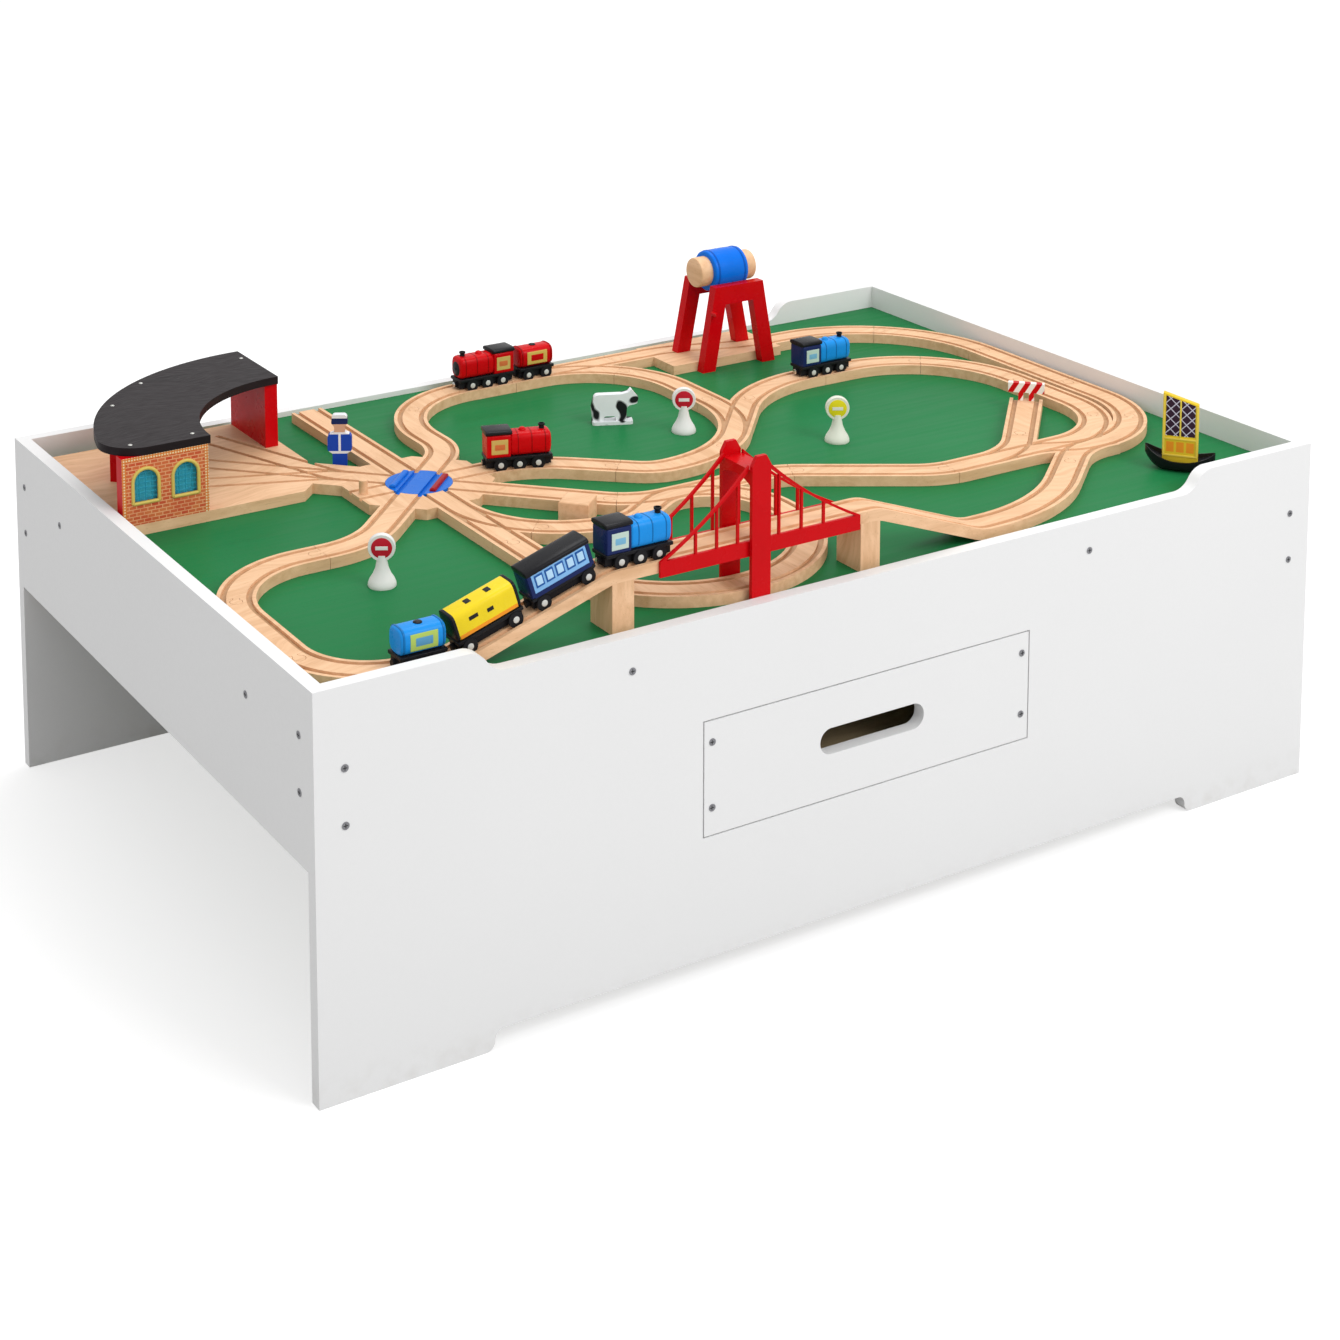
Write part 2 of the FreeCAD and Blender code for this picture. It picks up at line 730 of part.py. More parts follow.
def board_rails():
    """Four battens that carry the board's edges, between the corner blocks."""
    along, across = INNER_X - CORNER_BLOCK, INNER_Y - CORNER_BLOCK
    low = BOARD_UNDER - RAIL_H
    rails = []
    for side in (-1, 1):
        ys = sorted((side * INNER_Y, side * (INNER_Y - RAIL_T)))
        xs = sorted((side * INNER_X, side * (INNER_X - RAIL_T)))
        rails.append(box(-along, along, *ys, low, BOARD_UNDER))
        rails.append(box(*xs, -across, across, low, BOARD_UNDER))
    return rails


def drawer_box_half_width():
    return DRAWER_WIDTH / 2 - DRAWER_GAP - CARRIER_GAP - 4


def drawer_carriers(rails):
    """Two cross boards from panel to panel, notched round the board rails, each with a runner strip."""
    inner = drawer_box_half_width() + CARRIER_GAP
    runner_top = DRAWER_BOTTOM + DRAWER_GAP + DRAWER_FLOOR_LIFT / 2 - RUN_CLEARANCE
    carriers = []
    for side in (-1, 1):
        xs = sorted((side * inner, side * (inner + CARRIER_T)))
        board = box(*xs, -INNER_Y, INNER_Y, runner_top - RUNNER_T, BOARD_UNDER)
        runner_xs = sorted((side * inner, side * (inner - RUNNER_W)))
        runner = box(*runner_xs, -INNER_Y, INNER_Y, runner_top - RUNNER_T, runner_top)
        carriers.append(board.fuse(runner).cut(rails).removeSplitter())
    return carriers


def drawer_stop():
    """Rail across the middle between the carriers, where both drawers' backs stop."""
    inner = drawer_box_half_width() + CARRIER_GAP
    middle = INNER_Y - DRAWER_DEPTH - RUN_CLEARANCE
    runner_top = DRAWER_BOTTOM + DRAWER_GAP + DRAWER_FLOOR_LIFT / 2 - RUN_CLEARANCE
    top = runner_top + DRAWER_SIDE_H
    return box(-inner, inner, -middle, middle, runner_top, top)


def drawer(side):
    """Drawer whose face fills the hole in the panel: face, three box walls, a grooved-in floor, screws."""
    half = DRAWER_WIDTH / 2 - DRAWER_GAP
    low = DRAWER_BOTTOM + DRAWER_GAP
    high = DRAWER_BOTTOM + DRAWER_HEIGHT - DRAWER_GAP
    face = box(-half, half, INNER_Y, HALF_D, low, high)
    slot_half = (SLOT_WIDTH - SLOT_HEIGHT) / 2
    slot_z = DRAWER_BOTTOM + SLOT_BOTTOM + SLOT_HEIGHT / 2
    slot_r = SLOT_HEIGHT / 2
    cut = box(-slot_half, slot_half, INNER_Y - 1, HALF_D + 1, slot_z - slot_r, slot_z + slot_r)
    for end in (-1, 1):
        cut = cut.fuse(rod(end * slot_half, INNER_Y - 1, slot_z, (0, 1, 0), slot_r, PANEL_T + 2))
    face = face.cut(cut)

    wide = drawer_box_half_width()
    back_y = INNER_Y - DRAWER_DEPTH
    base = low + DRAWER_FLOOR_LIFT / 2
    top = base + DRAWER_SIDE_H
    floor_z = base + DRAWER_FLOOR_LIFT
    walls = [box(-wide, -wide + DRAWER_WALL, back_y, INNER_Y, base, top),
             box(wide - DRAWER_WALL, wide, back_y, INNER_Y, base, top),
             box(-wide + DRAWER_WALL, wide - DRAWER_WALL, back_y, back_y + DRAWER_WALL, base, top)]
    tongue = DRAWER_WALL / 2
    floor = box(-wide + tongue, wide - tongue, back_y + tongue, INNER_Y, floor_z, floor_z + DRAWER_FLOOR_T)
    walls = [wall.cut(floor) for wall in walls]

    screws = []
    for end in (-1, 1):
        for z in (low + DRAWER_SCREW_FROM_BOTTOM, high - DRAWER_SCREW_FROM_TOP):
            x = end * (wide - tongue)
            screws.append(screw(x, HALF_D, z, (0, -1, 0), DRAWER_SCREW_LENGTH))
    face = face.cut(screws)
    walls = [wall.cut(screws) for wall in walls]

    pieces = {"face": [face], "box": walls + [floor], "screws": screws}
    if side < 0:
        pieces = {name: [shape.rotated(V(0, 0, 0), V(0, 0, 1), 180) for shape in shapes]
                  for name, shapes in pieces.items()}
    return pieces


def turntable_base():
    """Eight-sided wooden base, grooved out to each side, with a round recess and a spindle for the disc."""
    corner_r = TABLE_APOTHEM / math.cos(math.radians(22.5))
    corners = []
    for i in range(8):
        dx, dy = heading_vector(22.5 + 45 * i)
        corners.append((TABLE_X + corner_r * dx, TABLE_Y + corner_r * dy, BOARD_TOP))
    base = prism(polygon(corners), (0, 0, TRACK_T))
    grooves = []
    for angle in range(0, 360, 45):
        arm = Route("", [(TABLE_X, TABLE_Y), exit_point(angle)])
        grooves += arm.grooves()
    recess = rod(TABLE_X, TABLE_Y, TRACK_TOP - DISC_T - DISC_GAP, (0, 0, 1), DISC_R + DISC_GAP, DISC_T + 2)
    base = base.cut(grooves + [recess])
    spindle_z = TRACK_TOP - DISC_T - DISC_GAP
    return base.fuse(rod(TABLE_X, TABLE_Y, spindle_z, (0, 0, 1), SPINDLE_R, DISC_T - GROOVE_D))


def turntable_disc():
    """Round table with one grooved track across it and a ridge at each side to turn it by."""
    low = TRACK_TOP - DISC_T
    disc = rod(TABLE_X, TABLE_Y, low, (0, 0, 1), DISC_R, DISC_T)
    dx, dy = heading_vector(DISC_HEADING)
    reach = DISC_R + 2
    across = Route("", [(TABLE_X - reach * dx, TABLE_Y - reach * dy),
                        (TABLE_X + reach * dx, TABLE_Y + reach * dy)])
    inset = TRACK_W / 2 + HANDLE_W / 2
    length = 2 * math.sqrt(DISC_R ** 2 - (inset + HANDLE_W / 2) ** 2) - 2
    ridges = []
    for side in (-1, 1):
        ridge = box(-length / 2, length / 2, -HANDLE_W / 2, HANDLE_W / 2, TRACK_TOP - 1, TRACK_TOP + HANDLE_H)
        upper = [e for e in ridge.Edges if e.BoundBox.ZMin > TRACK_TOP + HANDLE_H / 2]
        ridge = ridge.makeFillet(HANDLE_W / 3, upper)
        ridge.rotate(V(0, 0, 0), V(0, 0, 1), DISC_HEADING)
        ridge.translate(V(TABLE_X - side * inset * dy, TABLE_Y + side * inset * dx, 0))
        ridges.append(ridge)
    bore = rod(TABLE_X, TABLE_Y, low - 1, (0, 0, 1), SPINDLE_R + SPINDLE_GAP, DISC_T - GROOVE_D + 1)
    return disc.cut(across.grooves() + [bore]).fuse(ridges).removeSplitter()


def end_post():
    """Stop post on the turntable side that leads nowhere, over the peg socket there."""
    x, y = exit_point(180)
    return rod(x + 2 * END_POST_R, y, TRACK_TOP, (0, 0, 1), END_POST_R, END_POST_H)


def ramp_line(foot, top):
    """Running line of a ramp in plan coordinates (x, z): level foot, slope, level seat on the pier."""
    way = math.copysign(1, top - foot)
    return Route("", [(foot, TRACK_TOP), (foot + way * RAMP_LEAD, TRACK_TOP, RAMP_R),
                      (top - way * PIER_W / 2, BRIDGE_TOP, RAMP_R), (top, BRIDGE_TOP)])


def ramp(foot, top):
    """Wooden ramp of even thickness with its two wheel grooves following the slope."""
    route = ramp_line(foot, top)
    up = math.copysign(1, top - foot)
    half = GROOVE_W / 2
    wood = route.strip(*sorted((-up * TRACK_T, 0)), -TRACK_W / 2, TRACK_W / 2)
    depth = sorted((-up * GROOVE_D, up))
    grooves = [route.strip(*depth, side * GROOVE_C - half, side * GROOVE_C + half) for side in (-1, 1)]
    wood = wood.cut(grooves)
    wood.rotate(V(0, 0, 0), V(1, 0, 0), 90)
    wood.translate(V(0, FRONT_RUN_Y, 0))
    return wood


def bridge_deck():
    """Straight span between the two piers."""
    left, right = BRIDGE_LEFT_X, BRIDGE_RIGHT_X
    y = FRONT_RUN_Y
    deck = box(left, right, y - TRACK_W / 2, y + TRACK_W / 2, BRIDGE_BOTTOM, BRIDGE_TOP)
    half = GROOVE_W / 2
    grooves = [box(left - 1, right + 1, y + side * GROOVE_C - half, y + side * GROOVE_C + half,
                   BRIDGE_TOP - GROOVE_D, BRIDGE_TOP + 1) for side in (-1, 1)]
    return deck.cut(grooves)


def bridge_piers(ramps):
    """Block under each end of the span, its top cut to seat the ramp that meets it."""
    piers = []
    for x in (BRIDGE_LEFT_X, BRIDGE_RIGHT_X):
        piers.append(box(x - PIER_W / 2, x + PIER_W / 2, FRONT_RUN_Y - TRACK_W / 2, FRONT_RUN_Y + TRACK_W / 2,
                         BOARD_TOP, BRIDGE_BOTTOM).cut(ramps))
    return piers


def girder_side(y):
    """Moulded side of the bridge in one flat piece: girder, two sagging cables and their hangers."""
    x0, x1 = BRIDGE_LEFT_X + GIRDER_ENDS[0], BRIDGE_RIGHT_X - GIRDER_ENDS[1]
    low = BRIDGE_TOP - GIRDER_LAP
    high = low + GIRDER_H
    piece = box(x0, x1, 0, GIRDER_T, low, high)
    peak = CABLE_TOP
    for end, side in ((x0, -1), (x1, 1)):
        near = TOWER_X + side * (TOWER_W / 2 + CABLE_GAP)
        span = end - near
        sag_x, sag_z = near + span / 2, high + (peak - high) * CABLE_SAG
        upper = Part.Arc(V(near, 0, peak), V(sag_x, 0, sag_z), V(end, 0, high)).toShape()
        lower = Part.Arc(V(near, 0, peak - CABLE_END_W), V(sag_x, 0, sag_z - CABLE_W),
                         V(end, 0, high - CABLE_W)).toShape()
        ends = [line(near, peak, near, peak - CABLE_END_W), line(end, high, end, high - CABLE_W)]
        cable = prism(Part.Wire(Part.__sortEdges__([upper, lower] + ends)), (0, GIRDER_T, 0))
        piece = piece.fuse(cable)
        for share in HANGER_PLACES:
            x = near + span * share
            top = cable_height(x, near, peak, sag_x, sag_z, end, high) - CABLE_W / 2
            piece = piece.fuse(box(x - HANGER_W / 2, x + HANGER_W / 2, 0, GIRDER_T, high - 1, top))
    piece = piece.removeSplitter()
    piece.translate(V(0, y, 0))
    return piece


def cable_height(x, x0, z0, x1, z1, x2, z2):
    """Height at x of the circle through three points, on its lower side."""
    d = 2 * (x0 * (z1 - z2) + x1 * (z2 - z0) + x2 * (z0 - z1))
    q0, q1, q2 = x0 * x0 + z0 * z0, x1 * x1 + z1 * z1, x2 * x2 + z2 * z2
    cx = (q0 * (z1 - z2) + q1 * (z2 - z0) + q2 * (z0 - z1)) / d
    cz = (q0 * (x2 - x1) + q1 * (x0 - x2) + q2 * (x1 - x0)) / d
    radius = math.hypot(x0 - cx, z0 - cz)
    return cz - math.sqrt(radius ** 2 - (x - cx) ** 2)


def bridge_tower():
    """Portal over both levels: two legs from the board with tapered tops, joined by an arched beam."""
    inner = TRACK_W / 2 + GIRDER_T + 3 * GIRDER_CLEAR
    outer = inner + TOWER_LEG_T
    top, beam_top = TOWER_TOP, TOWER_BEAM_TOP
    beam_low = beam_top - TOWER_BEAM_H
    edges = [line(-outer, BOARD_TOP, -outer, top), line(-outer, top, -inner, top),
             line(-inner, top, -inner, beam_top), line(-inner, beam_top, inner, beam_top),
             line(inner, beam_top, inner, top), line(inner, top, outer, top),
             line(outer, top, outer, BOARD_TOP), line(outer, BOARD_TOP, inner, BOARD_TOP),
             line(inner, BOARD_TOP, inner, beam_low),
             Part.Arc(V(inner, 0, beam_low), V(0, 0, beam_low + TOWER_ARCH_RISE),
                      V(-inner, 0, beam_low)).toShape(),
             line(-inner, beam_low, -inner, BOARD_TOP), line(-inner, BOARD_TOP, -outer, BOARD_TOP)]
    portal = prism(Part.Wire(edges), (0, TOWER_W, 0))
    portal.rotate(V(0, 0, 0), V(0, 0, 1), 90)
    portal.translate(V(TOWER_W / 2, 0, 0))
    half, neck = TOWER_W / 2, TOWER_W / 4
    face = [(-half, -outer, BOARD_TOP), (-half, -outer, top - TOWER_TAPER_H), (-neck, -outer, top),
            (neck, -outer, top), (half, -outer, top - TOWER_TAPER_H), (half, -outer, BOARD_TOP)]
    portal = portal.common(prism(polygon(face), (0, 2 * outer, 0)))
    portal.translate(V(TOWER_X, FRONT_RUN_Y, 0))
    return portal


def shed_routes():
    """Three short tracks that fan out from the turntable side into the shed."""
    x, y = exit_point(135)
    lines = []
    for turn in (-SHED_FAN, 0.0, SHED_FAN):
        bx, by = heading_vector(135)
        dx, dy = heading_vector(135 + turn)
        corner = x + SHED_CHAMFER / 2 * bx, y + SHED_CHAMFER / 2 * by
        end = corner[0] + SHED_TRACK_L * dx, corner[1] + SHED_TRACK_L * dy
        if turn:
            lines.append(Route("", [(x, y), (*corner, 2 * SHED_CHAMFER), end]))
        else:
            lines.append(Route("", [(x, y), end]))
    return lines


def shed_floor():
    """Floor of the shed with its neck to the turntable and three grooved tracks."""
    corners = [(SHED_X0, SHED_Y0, BOARD_TOP),
               (SHED_X1 - SHED_CHAMFER, SHED_Y0, BOARD_TOP),
               (SHED_X1, SHED_Y0 + SHED_CHAMFER, BOARD_TOP),
               (SHED_X1, SHED_Y1, BOARD_TOP),
               (SHED_X0, SHED_Y1, BOARD_TOP)]
    floor = prism(polygon(corners), (0, 0, TRACK_T))
    neck = box(TABLE_APOTHEM, TABLE_APOTHEM + 2 * SHED_CHAMFER, -SHED_NECK_W / 2, SHED_NECK_W / 2,
               BOARD_TOP, TRACK_TOP)
    neck.rotate(V(0, 0, 0), V(0, 0, 1), 135)
    neck.translate(V(TABLE_X, TABLE_Y, 0))
    grooves = [groove for route in shed_routes() for groove in route.grooves()]
    return floor.fuse(neck).removeSplitter().cut(grooves)


def arch(x, y0, y1, width, sill, height):
    """Round-topped window shape through a wall that runs along X."""
    half = width / 2
    spring = sill + height - half
    edges = [line(x - half, sill, x + half, sill), line(x + half, sill, x + half, spring),
             Part.Arc(V(x + half, 0, spring), V(x, 0, spring + half), V(x - half, 0, spring)).toShape(),
             line(x - half, spring, x - half, sill)]
    shape = prism(Part.Wire(edges), (0, y1 - y0, 0))
    shape.translate(V(0, y0, 0))
    return shape


def shed_walls():
    """Front wall with two arched windows, a wall at the far end of the fan and one across its back."""
    low, high = TRACK_TOP, TRACK_TOP + SHED_WALL_H
    x1 = ROOF_X - (ROOF_R_OUT + ROOF_R_IN) / 2 + SHED_WALL_L / 2
    x0 = x1 - SHED_WALL_L
    front = box(x0, x1, SHED_Y0, SHED_Y0 + SHED_WALL_T, low, high)
    panes = []
    for x in (x0 + WINDOW_FROM_END, x1 - WINDOW_FROM_END):
        hole = arch(x, SHED_Y0 - 1, SHED_Y0 + SHED_WALL_T + 1, WINDOW_W, low + WINDOW_SILL, WINDOW_H)
        front = front.cut(hole)
        pane_y = SHED_Y0 + (SHED_WALL_T - PANE_T) / 2
        panes.append(arch(x, pane_y, pane_y + PANE_T, WINDOW_W, low + WINDOW_SILL, WINDOW_H))
    y1 = ROOF_Y + (ROOF_R_OUT + ROOF_R_IN) / 2 + SHED_WALL_L / 2
    side = box(ROOF_X - SHED_WALL_T, ROOF_X, y1 - SHED_WALL_L, y1, low, high)
    radius = ROOF_R_OUT - SHED_WALL_T
    back = box(radius, radius + SHED_WALL_T, -SHED_WALL_L / 2, SHED_WALL_L / 2, low, high)
    back.rotate(V(0, 0, 0), V(0, 0, 1), 135)
    back.translate(V(ROOF_X, ROOF_Y, 0))
    back = back.common(shed_roof_outline(low, high))
    return [front, side, back], panes


def shed_roof_outline(z0, z1, outside=0.0):
    """Quarter ring over the shed between two levels, wider outside by the given overhang."""
    height = z1 - z0
    disc = Part.makeCylinder(ROOF_R_OUT + outside, height, V(ROOF_X, ROOF_Y, z0), V(0, 0, 1), 90)
    disc.rotate(V(ROOF_X, ROOF_Y, z0), V(0, 0, 1), 90)
    return disc.cut(rod(ROOF_X, ROOF_Y, z0 - 1, (0, 0, 1), ROOF_R_IN, height + 2))


def shed_roof():
    """Roof board that overhangs the back of the fan, its front outer corner well rounded."""
    top = TRACK_TOP + SHED_WALL_H
    roof = shed_roof_outline(top, top + ROOF_T, ROOF_OVERHANG)
    corner = [e for e in roof.Edges if e.BoundBox.XMax < SHED_X0 and e.BoundBox.ZLength > ROOF_T / 2]
    return roof.makeFillet(ROOF_CORNER_R, corner)


def tower_plate():
    """Wide track plate under the water tower; the running track bends across it."""
    plate = box(*PLATE_X, *PLATE_Y, BOARD_TOP, TRACK_TOP)
    bend = Route("", [(PLATE_X[0] - 1, BACK_RUN_Y), (PLATE_BEND_X[0], BACK_RUN_Y, PLATE_BEND_R),
                      (PLATE_BEND_X[1], OUTER_TOP_Y, PLATE_BEND_R), (PLATE_X[1] + 1, OUTER_TOP_Y)])
    return plate.cut(bend.grooves())


def frame_outline(foot_z):
    """Splayed frame seen from the front: two legs under a top beam."""
    top, under = FRAME_TOP, FRAME_TOP - FRAME_BEAM_H
    foot, head, leg = FRAME_FOOT_HALF, FRAME_TOP_HALF, FRAME_LEG_W
    slope = (foot - head) / (top - foot_z)
    shoulder = foot - leg - slope * (under - foot_z)
    return [(FRAME_X - foot, 0, foot_z), (FRAME_X - foot + leg, 0, foot_z), (FRAME_X - shoulder, 0, under),
            (FRAME_X + shoulder, 0, under), (FRAME_X + foot - leg, 0, foot_z), (FRAME_X + foot, 0, foot_z),
            (FRAME_X + head, 0, top), (FRAME_X - head, 0, top)]


def tower_frames():
    """Front frame on the board and back frame on the plate, with the spout pin in the front one."""
    frames = []
    for y, foot_z in ((FRAME_FRONT_Y, BOARD_TOP), (FRAME_BACK_Y, TRACK_TOP)):
        frame = prism(polygon(frame_outline(foot_z)), (0, FRAME_T, 0))
        frame.translate(V(0, y, 0))
        frames.append(frame)
    pin_x = FRAME_X - FRAME_TOP_HALF - FRAME_LEG_W / 4
    pin = rod(pin_x, FRAME_FRONT_Y - TOWER_PIN_L, TOWER_PIN_Z, (0, 1, 0), TOWER_PIN_R, TOWER_PIN_L)
    return frames + [pin]


def barrel_height():
    """Height of the barrel's axis when it rests on the inner top edges of both frames."""
    half_gap = (FRAME_BACK_Y - FRAME_FRONT_Y - FRAME_T) / 2
    return FRAME_TOP + math.sqrt((BARREL_R + BARREL_CLEAR) ** 2 - half_gap ** 2)


def barrel():
    """Water barrel as a turned piece: slightly swollen shell and a smaller wooden plug at each end."""
    middle = (FRAME_BACK_Y + FRAME_FRONT_Y + FRAME_T) / 2
    half = BARREL_L / 2
    x, z = FRAME_X + BARREL_SHIFT, barrel_height()
    shell = rod(x - half, middle, z, (1, 0, 0), BARREL_R, BARREL_L)
    shell = shell.makeChamfer(BARREL_EDGE, [e for e in shell.Edges if e.Curve.TypeId == "Part::GeomCircle"])
    plugs = [rod(x - half - BARREL_END_T, middle, z, (1, 0, 0), BARREL_END_R, BARREL_END_T),
             rod(x + half, middle, z, (1, 0, 0), BARREL_END_R, BARREL_END_T)]
    return shell, plugs


def place(shapes, x, y, z, heading=0.0, pitch=0.0):
    """Turn vehicle pieces from their own frame, wheels on zero, to a spot on the track."""
    placed = []
    for shape in shapes:
        shape = shape.copy()
        shape.rotate(V(0, 0, 0), V(0, 1, 0), -pitch)
        shape.rotate(V(0, 0, 0), V(0, 0, 1), heading)
        shape.translate(V(x, y, z))
        placed.append(shape)
    return placed


def wheel_disc(y):
    """Wheel as a many-sided disc standing on a flat."""
    points = []
    for i in range(WHEEL_SIDES):
        angle = math.radians(360 * (i + 0.5) / WHEEL_SIDES - 90)
        points.append((WHEEL_R * math.cos(angle), y, WHEEL_R + WHEEL_R * math.sin(angle)))
    return prism(polygon(points), (0, WHEEL_T, 0))


def running_gear(length, axles):
    """Chassis block with a magnet coupler at each end, and its wheels on their axles."""
    half = length / 2 - COUPLER_L
    chassis = box(-half, half, -CHASSIS_W / 2, CHASSIS_W / 2, CHASSIS_Z, CHASSIS_Z + CHASSIS_T)
    coupler_z = CHASSIS_Z + CHASSIS_T / 2
    for end in (-1, 1):
        chassis = chassis.fuse(rod(end * half, 0, coupler_z, (end, 0, 0), COUPLER_R, COUPLER_L - COUPLER_GAP))
    gear = chassis
    for x in axles:
        for side in (-1, 1):
            wheel = wheel_disc(side * GROOVE_C - WHEEL_T / 2)
            stub = rod(0, side * CHASSIS_W / 2, WHEEL_R, (0, side, 0), AXLE_R, GROOVE_C - CHASSIS_W / 2)
            pair = wheel.fuse(stub)
            pair.translate(V(x, 0, 0))
            gear = gear.fuse(pair)
    return gear.removeSplitter()


def wheel_wells(axles):
    """Round clearances over the wheels, cut out of a vehicle's lower edges."""
    inner = GROOVE_C - WHEEL_T / 2 - WHEEL_WELL
    return [rod(x, side * inner, WHEEL_R, (0, side, 0), WHEEL_R + WHEEL_WELL, BODY_W)
            for x in axles for side in (-1, 1)]


def engine_body():
    """Tank engine: footplate, round boiler between side tanks, cab with open windows, chimney and dome."""
    half, wide = ENGINE_L / 2 - COUPLER_L, BODY_W / 2
    deck = BODY_Z + FOOTPLATE_T
    front_of_cab = -half + CAB_L - BOILER_LAP
    plate = box(-half, half, -wide, wide, BODY_Z, deck)
    axis_z = deck + BOILER_R
    boiler = rod(front_of_cab, 0, axis_z, (1, 0, 0), BOILER_R, half - front_of_cab - BOILER_LAP)
    saddle_y = BOILER_R * SADDLE_SHARE
    saddle = box(front_of_cab, half - SADDLE_INSET, -saddle_y, saddle_y, deck, axis_z)
    tank_top = axis_z + TANK_RISE
    tanks = box(front_of_cab, half - TANK_INSET, -wide, wide, deck, tank_top)
    tanks = tanks.makeFillet(TANK_EDGE_R, [e for e in tanks.Edges if e.BoundBox.ZMin > tank_top - TANK_EDGE_R
                                           and e.BoundBox.YLength < TANK_EDGE_R])
    cab_top = BODY_Z + CAB_H - EAVES * 2
    cab = box(-half, -half + CAB_L, -wide, wide, deck, cab_top)
    high = cab_top - CAB_WINDOW_DROP
    window = box(-half + CAB_WINDOW_INSET, -half + CAB_L - CAB_WINDOW_INSET, -BODY_W, BODY_W,
                 high - CAB_WINDOW_H, high)
    stack_z = axis_z + BOILER_R - CHIMNEY_LAP
    chimney = rod(half - CHIMNEY_INSET, 0, stack_z, (0, 0, 1), CHIMNEY_R, CHIMNEY_H)
    dome = rod((half - CAB_L / 2) / 3, 0, stack_z, (0, 0, 1), CHIMNEY_R, CHIMNEY_H / 2)
    engine = plate.fuse([boiler, saddle, tanks, cab.cut(window), chimney, dome]).removeSplitter()
    return engine.cut(wheel_wells(ENGINE_AXLES))


def arched_roof(x0, x1, z, width, rise):
    """Roof that bows across the vehicle."""
    half = width / 2
    edges = [Part.LineSegment(V(x0, -half, z), V(x0, half, z)).toShape(),
             Part.Arc(V(x0, half, z), V(x0, 0, z + rise), V(x0, -half, z)).toShape()]
    return prism(Part.Wire(edges), (x1 - x0, 0, 0))


def engine_roof():
    half = ENGINE_L / 2 - COUPLER_L
    return arched_roof(-half - EAVES, -half + CAB_L + EAVES, BODY_Z + CAB_H - EAVES * 2,
                       BODY_W + EAVES, CAB_ROOF_RISE)


def coach_body(length, height):
    """Coach: straight sides with a row of window recesses under a bowed roof."""
    half, wide = length / 2 - COUPLER_L, BODY_W / 2
    top = BODY_Z + height - COACH_ROOF_RISE - EAVES
    body = box(-half, half, -wide, wide, BODY_Z, top)
    pitch = 2 * (half - COACH_END_POST) / COACH_WINDOWS
    reach = pitch * COACH_WINDOW_SHARE / 2
    high = top - COACH_WINDOW_DROP
    recesses = []
    for i in range(COACH_WINDOWS):
        x = -half + COACH_END_POST + pitch * (i + 0.5)
        for side in (-1, 1):
            ys = sorted((side * (wide - EAVES), side * (wide + EAVES)))
            recesses.append(box(x - reach, x + reach, *ys, high - COACH_WINDOW_H, high))
    roof = arched_roof(-half - EAVES, half + EAVES, top, BODY_W + 2 * EAVES, COACH_ROOF_RISE)
    return body.cut(recesses + wheel_wells(COACH_AXLES)), roof


def car_body(length, height):
    """Closed car: plain box sides and a low bowed top in the same colour."""
    half, wide = length / 2 - COUPLER_L, BODY_W / 2
    top = BODY_Z + height - CAR_ROOF_RISE - 3 * EAVES
    body = box(-half, half, -wide, wide, BODY_Z, top)
    body = body.fuse(arched_roof(-half, half, top, BODY_W, CAR_ROOF_RISE)).removeSplitter()
    return body.cut(wheel_wells(COACH_AXLES))


def tender_body(length, height):
    """Tender: an open-topped box with a load of coal standing in it."""
    half = length / 2 - COUPLER_L
    body = box(-half, half, -BODY_W / 2, BODY_W / 2, BODY_Z, BODY_Z + height)
    wall, depth = TENDER_WALL, TENDER_BUNKER_D
    inner_x, inner_y = half - wall, BODY_W / 2 - wall
    bunker = box(-inner_x, inner_x, -inner_y, inner_y, BODY_Z + height - depth, BODY_Z + height + 1)
    load = arched_roof(-inner_x, inner_x, BODY_Z + height - depth, 2 * inner_y, TENDER_LOAD_H)
    return body.cut(bunker).fuse(load).removeSplitter().cut(wheel_wells(TENDER_AXLES))


def sign(x, y, height, sides, heading):
    """Sign on a square foot: a round post and a flat plate with the given number of sides."""
    half = SIGN_BASE / 2
    foot_top = BOARD_TOP + SIGN_BASE_T
    foot = box(x - half, x + half, y - half, y + half, BOARD_TOP, foot_top)
    foot = foot.makeFillet(SIGN_BASE_R, [e for e in foot.Edges if e.BoundBox.ZLength > SIGN_BASE_T / 2])
    face_z = BOARD_TOP + height - SIGN_FACE_R
    post = rod(x, y, foot_top, (0, 0, 1), SIGN_POST_R, face_z - foot_top)
    points = []
    for i in range(sides):
        angle = math.radians(360 * (i + 0.5) / sides)
        points.append((SIGN_FACE_R * math.cos(angle), 0, SIGN_FACE_R * math.sin(angle)))
    plate = prism(polygon(points), (0, SIGN_FACE_T, 0))
    plate = place([plate], x, y, face_z, heading)[0]
    plate.translate(V(*[(SIGN_POST_R + SIGN_FACE_T) * v for v in heading_vector(heading - 90)], 0))
    return [foot, post, plate]


def board_shape(points, thickness):
    """Upright flat board cut to an outline of corner points (x, z, radius); the first one stays sharp."""
    runs = path_runs(points + points[:1])
    outline = prism(Part.Wire([run_edge(run, 0, 0, run[3]) for run in runs]), (0, 0, thickness))
    outline.rotate(V(0, 0, 0), V(1, 0, 0), 90)
    outline.translate(V(0, thickness / 2, 0))
    return outline


